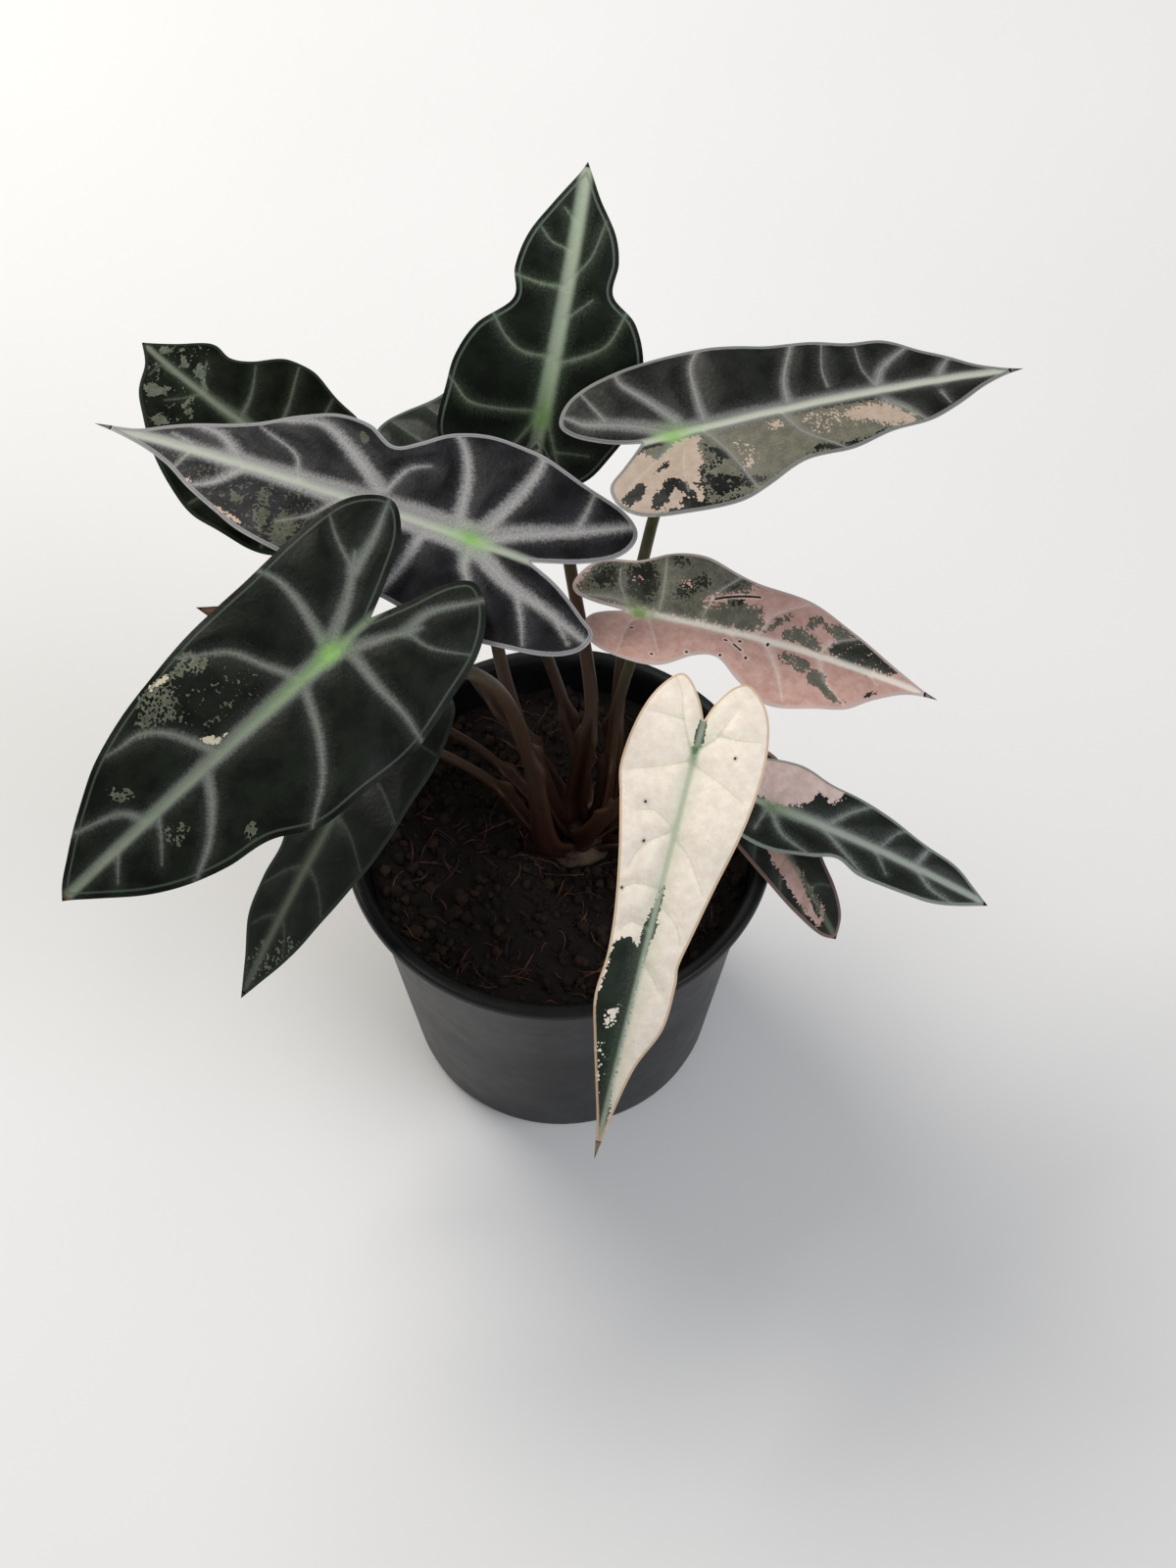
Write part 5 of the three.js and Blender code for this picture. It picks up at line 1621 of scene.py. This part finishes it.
@dataclass
class Pot:
    """The moulded nursery pot: a tapered wall, a rolled rim, a raised floor and drain holes."""

    height: float = 100.0
    rim_radius: float = 60.0
    rim_lip: float = 4.0
    rim_depth: float = 3.0
    base_radius: float = 44.0
    wall: float = 1.2
    floor_lift: float = 3.0
    pad_radius: float = 22.0
    drain_holes: int = 8
    drain_radius: float = 3.5
    drain_circle: float = 31.0
    sides: int = 180
    finish: PlasticFinish = PlasticFinish()

    def wall_radius(self, height: float) -> float:
        """The outer radius of the wall, which widens evenly up to the rim."""
        top = self.rim_radius - self.rim_lip
        return self.base_radius + (top - self.base_radius) * height / (self.height - self.rim_depth)

    def inner_radius(self, height: float) -> float:
        """The inner radius of the wall."""
        return self.wall_radius(height) - self.wall

    def profile(self) -> list[Point]:
        """Draw the section of wall, rim and floor.

        Returns:
            Radii and heights, from the axis outside and back to it inside.
        """
        band, top, rim = self.height - self.rim_depth, self.height, self.rim_radius
        lift, wall, pad = self.floor_lift, self.wall, self.pad_radius
        base, middle = self.base_radius, self.height / 2
        outside = [(0.01, 0.0), (pad, 0.0), (pad + 0.5, 0.4), (pad + 1, lift), (base - 5, lift),
                   (base - 4, 0.4), (base - 3.6, 0.0), (base - 1, 0.0), (base - 0.3, 0.3),
                   (self.wall_radius(lift), lift), (self.wall_radius(middle), middle),
                   (self.wall_radius(band - 0.4), band - 0.4), (self.wall_radius(band) + 0.3, band)]
        rolled = [(rim - 0.6, band), (rim - 0.15, band + 0.25), (rim, band + 0.8), (rim - 0.1, top - 1.0),
                  (rim - 0.35, top - 0.4), (rim - 0.75, top - 0.08), (rim - 1.2, top),
                  (rim - 2.6, top - 0.1), (rim - 3.6, top - 0.45), (rim - 4.3, top - 1.2),
                  (self.inner_radius(band - 1), band - 1)]
        within = [(self.inner_radius(middle), middle), (self.inner_radius(lift + wall), lift + wall),
                  (pad, lift + wall), (pad - 1, wall), (0.01, wall)]
        return outside + rolled + within

    def build(self) -> None:
        """Turn the section and cut the drain holes."""
        section = self.profile()
        corners = [(radius * math.cos(turn), radius * math.sin(turn), height)
                   for radius, height in section for turn in turns(self.sides)]
        piece = build_mesh("nursery_pot", np.array(corners), tube_faces(len(section), self.sides))
        self.cut_drains(piece)
        dress(piece, self.finish.material(), "pot", "pot")

    def cut_drains(self, piece: bpy.types.Object) -> None:
        """Cut the ring of holes through the floor.

        Args:
            piece: The pot.
        """
        sides, corners, faces = 24, [], []
        for hole in range(self.drain_holes):
            middle = (hole + 0.5) * 2 * math.pi / self.drain_holes
            x, y = self.drain_circle * math.cos(middle), self.drain_circle * math.sin(middle)
            first = len(corners)
            for height in (-1.0, self.floor_lift + 4 * self.wall):
                for turn in turns(sides):
                    corners.append((x + self.drain_radius * math.cos(turn),
                                    y + self.drain_radius * math.sin(turn), height))
            faces += tube_faces(2, sides, first)
        cutter = build_mesh("drain_cutter", np.array(corners), faces)
        cut = piece.modifiers.new("drains", "BOOLEAN")
        cut.operation, cut.object, cut.solver = "DIFFERENCE", cutter, "EXACT"
        graph = bpy.context.evaluated_depsgraph_get()
        drained = bpy.data.meshes.new_from_object(piece.evaluated_get(graph))
        piece.modifiers.clear()
        piece.data = drained
        drained.set_sharp_from_angle(angle=math.radians(40))
        bpy.data.objects.remove(cutter)


POT = Pot()


@dataclass(frozen=True)
class SoilFinish:
    """Damp dark potting mix with pale specks painted on as glints, each crumb in its own shade."""

    name: str
    dark: str
    light: str
    painted_glint: str = "4a3324"

    def material(self) -> bpy.types.Material:
        """Mix the two browns and strew the painted glints.

        Returns:
            The finished material.
        """
        g = Graph(self.name)
        place = g.stretch(g.position(), (1 / MM, 1 / MM, 1 / MM))
        patchy, fine = g.noise(place, 0.25, 4.0, 0.6), g.noise(place, 2.2, 3.0, 0.7)
        tone = g.read("shade") * 0.6 + (patchy - 0.3) * 0.8
        colour = g.paint(g.step(tone, 0.1, 0.9), tint(self.dark), tint(self.light))
        # Pale specks painted in as glints: a painted highlight on the damp mix
        colour = g.paint(g.step(fine, 0.6, 0.75) * 0.35, colour, tint(self.painted_glint))
        rough = 0.75 + fine * 0.25
        return g.finish(Base_Color=colour, Roughness=rough, Normal=g.bump(fine, 0.5),
                        Specular_IOR_Level=0.25)


@dataclass(frozen=True)
class CoirFinish:
    """Reddish brown fibre, darker in places."""

    dark: str = "28140d"
    light: str = "5e3420"

    def material(self) -> bpy.types.Material:
        """Mix the two browns of the fibres.

        Returns:
            The finished material.
        """
        g = Graph("coir")
        shade = g.noise(g.position(), 300.0, 2.0)
        colour = g.paint(g.step(shade, 0.35, 0.65), tint(self.dark), tint(self.light))
        rough = 0.6 + shade * 0.3
        return g.finish(Base_Color=colour, Roughness=rough, Normal=g.bump(shade, 0.1))


@dataclass
class Soil:
    """The potting mix: a lumpy filling, loose crumbs on it and fibres that lie across them.

    Up to calm stem radii from the stem's middle, the surface has no lumps. A crumb's size is the
    first number of crumb_size plus up to the second, seldom much of it; crumb_form stretches it
    along each axis and crumb_lumps moves its corners. A pair for the fibres is least and most.
    """

    top: float = 88.0
    lump: float = 0.7
    calm: float = 1.3
    grain: float = 0.8
    gap: float = 0.3
    crumbs: int = 1500
    crumb_seed: int = 7
    crumb_size: Pair = (0.45, 1.5)
    crumb_form: Pair = (0.6, 1.3)
    crumb_lumps: Pair = (0.75, 1.2)
    crumb_lift: float = 0.25
    crumb_margin: float = 2.0
    fibres: int = 150
    fibre_seed: int = 11
    fibre_length: Pair = (4.0, 16.0)
    fibre_radius: Pair = (0.1, 0.22)
    fibre_hump: Pair = (0.2, 2.2)
    fibre_lift: float = 0.35
    fibre_margin: float = 4.0
    sides: int = 200
    ring_gap: float = 1.0
    ground: SoilFinish = SoilFinish("soil_ground", "130c09", "22160f")
    crumb: SoilFinish = SoilFinish("soil_crumb", "120b08", "302016")
    coir: CoirFinish = CoirFinish()

    def surface(self, x: float, y: float) -> float:
        """Work out the height of the soil, with fine grain all over.

        Args:
            x: The place to the plant's right.
            y: The place towards its back.

        Returns:
            The height over the pot's base.
        """
        away = math.hypot(x - STEM.centre[0], y - STEM.centre[1]) / STEM.radius
        share = min(1.0, max(0.0, away - self.calm))
        ripple = math.sin(0.21 * x + 1.1) * math.cos(0.17 * y - 0.6) + 0.6 * math.sin(0.39 * (x + y))
        grain = noise.fractal(Vector((x * 0.35, y * 0.35, 0.0)), 0.7, 2.0, 4)
        return self.top + self.lump * share * ripple + self.grain * grain

    def build(self) -> None:
        """Make the filling, the crumbs and the fibres."""
        self.filling()
        self.loose_crumbs()
        self.loose_fibres()

    def filling(self) -> None:
        """Make the closed body of soil, from the floor to its rough surface."""
        def outer(height: float) -> float:
            """The radius just inside the wall."""
            return POT.inner_radius(height) - self.gap
        low, middle, high = POT.floor_lift + POT.wall + self.gap, POT.height / 2, self.top - 2
        section = [(0.05, low), (outer(low), low), (outer(middle), middle), (outer(high), high)]
        section += [(radius, None) for radius in np.arange(outer(self.top), 0.3, -self.ring_gap)]
        corners = []
        for radius, height in section:
            for turn in turns(self.sides):
                x, y = radius * math.cos(turn), radius * math.sin(turn)
                corners.append((x, y, self.surface(x, y) if height is None else height))
        piece = build_mesh("potting_soil", np.array(corners), tube_faces(len(section), self.sides))
        dress(piece, self.ground.material(), "soil", "soil")

    def loose_crumbs(self) -> None:
        """Strew irregular crumbs, many small and few large, sunk a little into the surface."""
        draw = np.random.default_rng(self.crumb_seed)
        ball = bmesh.new()
        bmesh.ops.create_icosphere(ball, subdivisions=2, radius=1.0)
        knob = np.array([corner.co[:] for corner in ball.verts])
        shell = np.array([[corner.index for corner in face.verts] for face in ball.faces])
        ball.free()
        corners, faces, shade = [], [], []
        edge = POT.inner_radius(self.top) - self.crumb_margin
        least, more = self.crumb_size
        while len(corners) < self.crumbs:
            radius, turn = edge * math.sqrt(draw.random()), draw.uniform(0, 2 * math.pi)
            x, y = radius * math.cos(turn), radius * math.sin(turn)
            size = least + more * draw.random() ** 3
            stretch = size * draw.uniform(*self.crumb_form, 3)
            spin, _ = np.linalg.qr(draw.normal(size=(3, 3)))
            lumpy = knob * draw.uniform(*self.crumb_lumps, (len(knob), 1)) * stretch @ spin
            if math.hypot(x - STEM.centre[0], y - STEM.centre[1]) < STEM.radius:
                continue
            faces.append(shell + len(knob) * len(corners))
            corners.append(lumpy + (x, y, self.surface(x, y) + self.crumb_lift * size))
            shade.append(np.full(len(knob), draw.random()))
        fields = {"shade": np.concatenate(shade)}
        piece = build_mesh("soil_crumbs", np.vstack(corners), np.vstack(faces).tolist(), fields)
        dress(piece, self.crumb.material(), "soil", "soil")

    def loose_fibres(self) -> None:
        """Lay thin curved fibres on the crumbs, humped so that some stand off them."""
        draw = np.random.default_rng(self.fibre_seed)
        steps, sides = 10, 6
        corners, faces = [], []
        edge = POT.inner_radius(self.top) - self.fibre_margin
        for _ in range(self.fibres):
            radius, turn = edge * math.sqrt(draw.random()), draw.uniform(0, 2 * math.pi)
            heading, sweep = draw.uniform(0, 2 * math.pi), draw.normal(0, 0.12)
            length, thick = draw.uniform(*self.fibre_length), draw.uniform(*self.fibre_radius)
            rise = draw.uniform(*self.fibre_hump)
            spot = np.array([radius * math.cos(turn), radius * math.sin(turn)])
            spine = []
            for k in range(steps):
                spot = spot + length / steps * np.array([math.cos(heading), math.sin(heading)])
                spot *= min(1.0, edge / max(np.linalg.norm(spot), 1e-6))
                heading += sweep + draw.normal(0, 0.08)
                hump = rise * math.sin(math.pi * k / (steps - 1))
                spine.append((*spot, self.surface(*spot) + self.fibre_lift + hump))
            faces += tube_faces(steps, sides, len(corners) * sides * steps)
            corners.append(thin_tube(np.array(spine), thick, sides))
        piece = build_mesh("coir_fibres", np.vstack(corners), faces)
        dress(piece, self.coir.material(), "soil")


# The studio


@dataclass(frozen=True)
class PaperFinish:
    """Matte pale paper, barely mottled."""

    dark: str = "d6d6d6"
    light: str = "dcdcdc"

    def material(self) -> bpy.types.Material:
        """Mix the two greys of the paper.

        Returns:
            The finished material.
        """
        g = Graph("studio_paper")
        colour = g.paint(g.noise(g.position(), 6.0, 2.0), tint(self.dark), tint(self.light))
        return g.finish(Base_Color=colour, Roughness=0.9, Specular_IOR_Level=0.1)


class LampKind(Enum):
    """Where a light shines from: a panel near the plant, or so far off that it lights all the floor."""

    PANEL = "AREA"
    FAR = "SUN"


@dataclass(frozen=True)
class Lamp:
    """A soft light that faces the plant.

    place is in metres. power is in watts for a panel, and in watts for each square metre of floor
    for a far light. spread is the panel's width in metres, or the angle in degrees that a far
    light fills.
    """

    name: str
    kind: LampKind
    place: Place
    power: float
    colour: str
    spread: float

    def build(self, aim: Place) -> None:
        """Hang up the light.

        Args:
            aim: The place that it faces, in metres.
        """
        lamp = bpy.data.lights.new(self.name, self.kind.value)
        lamp.energy, lamp.color = self.power, tint(self.colour)[:3]
        if self.kind is LampKind.PANEL:
            lamp.shape, lamp.size = "DISK", self.spread
        else:
            lamp.angle = math.radians(self.spread)
        thing = bpy.data.objects.new(self.name, lamp)
        thing.location = self.place
        thing.rotation_euler = (Vector(aim) - Vector(self.place)).to_track_quat("-Z", "Y").to_euler()
        bpy.context.collection.objects.link(thing)


@dataclass
class Studio:
    """The pale floor, the soft lights and the camera.

    Places and floor_size are in metres. The lens, its sensor and floor_gap, how far under the pot
    the floor lies, are in millimetres.
    """

    camera_place: Place = (0.008, -0.439, 0.824)
    look_down: float = 58.0
    lens: float = 70.0
    sensor: float = 36.0
    floor_size: float = 6.0
    floor_gap: float = 0.2
    aim: Place = (0.0, 0.0, 0.15)
    sky: str = "f4f4f3"
    sky_strength: float = 0.45
    lamps: tuple[Lamp, ...] = (
        Lamp("key", LampKind.PANEL, (-0.55, 0.55, 1.15), 14.0, "fffaf2", 0.7),
        Lamp("fill", LampKind.FAR, (0.9, -0.5, 1.1), 1.3, "f2f6ff", 42.0))
    paper: PaperFinish = PaperFinish()

    def floor(self) -> None:
        """Lay a wide pale floor just under the pot."""
        half = self.floor_size / 2 / MM
        sides = ((-1, -1), (1, -1), (1, 1), (-1, 1))
        corners = np.array([(x * half, y * half, -self.floor_gap) for x, y in sides])
        piece = build_mesh("studio_floor", corners, [(0, 1, 2, 3)])
        piece.data.materials.append(self.paper.material())

    def build(self) -> None:
        """Set up the floor, the sky, the lights and the camera."""
        self.floor()
        world = bpy.data.worlds.new("studio_sky")
        world.use_nodes = True
        sky = world.node_tree.nodes["Background"].inputs
        sky["Color"].default_value = tint(self.sky)
        sky["Strength"].default_value = self.sky_strength
        scene = bpy.context.scene
        scene.world = world
        scene.view_settings.view_transform = "Standard"
        for lamp in self.lamps:
            lamp.build(self.aim)
        lens = bpy.data.cameras.new("photo_view")
        lens.lens, lens.sensor_width = self.lens, self.sensor
        camera = bpy.data.objects.new("photo_view", lens)
        camera.location = self.camera_place
        camera.rotation_euler = (math.radians(90 - self.look_down), 0.0, 0.0)
        bpy.context.collection.objects.link(camera)
        scene.camera = camera


def main() -> None:
    """Build every piece, then the studio."""
    logging.basicConfig(level=logging.INFO, format="%(name)s: %(message)s")
    POT.build()
    Soil().build()
    STEM.build()
    for stalk in STALKS:
        stalk.build()
        stalk.blade.build()
    Studio().build()


if __name__ == "__main__":
    main()
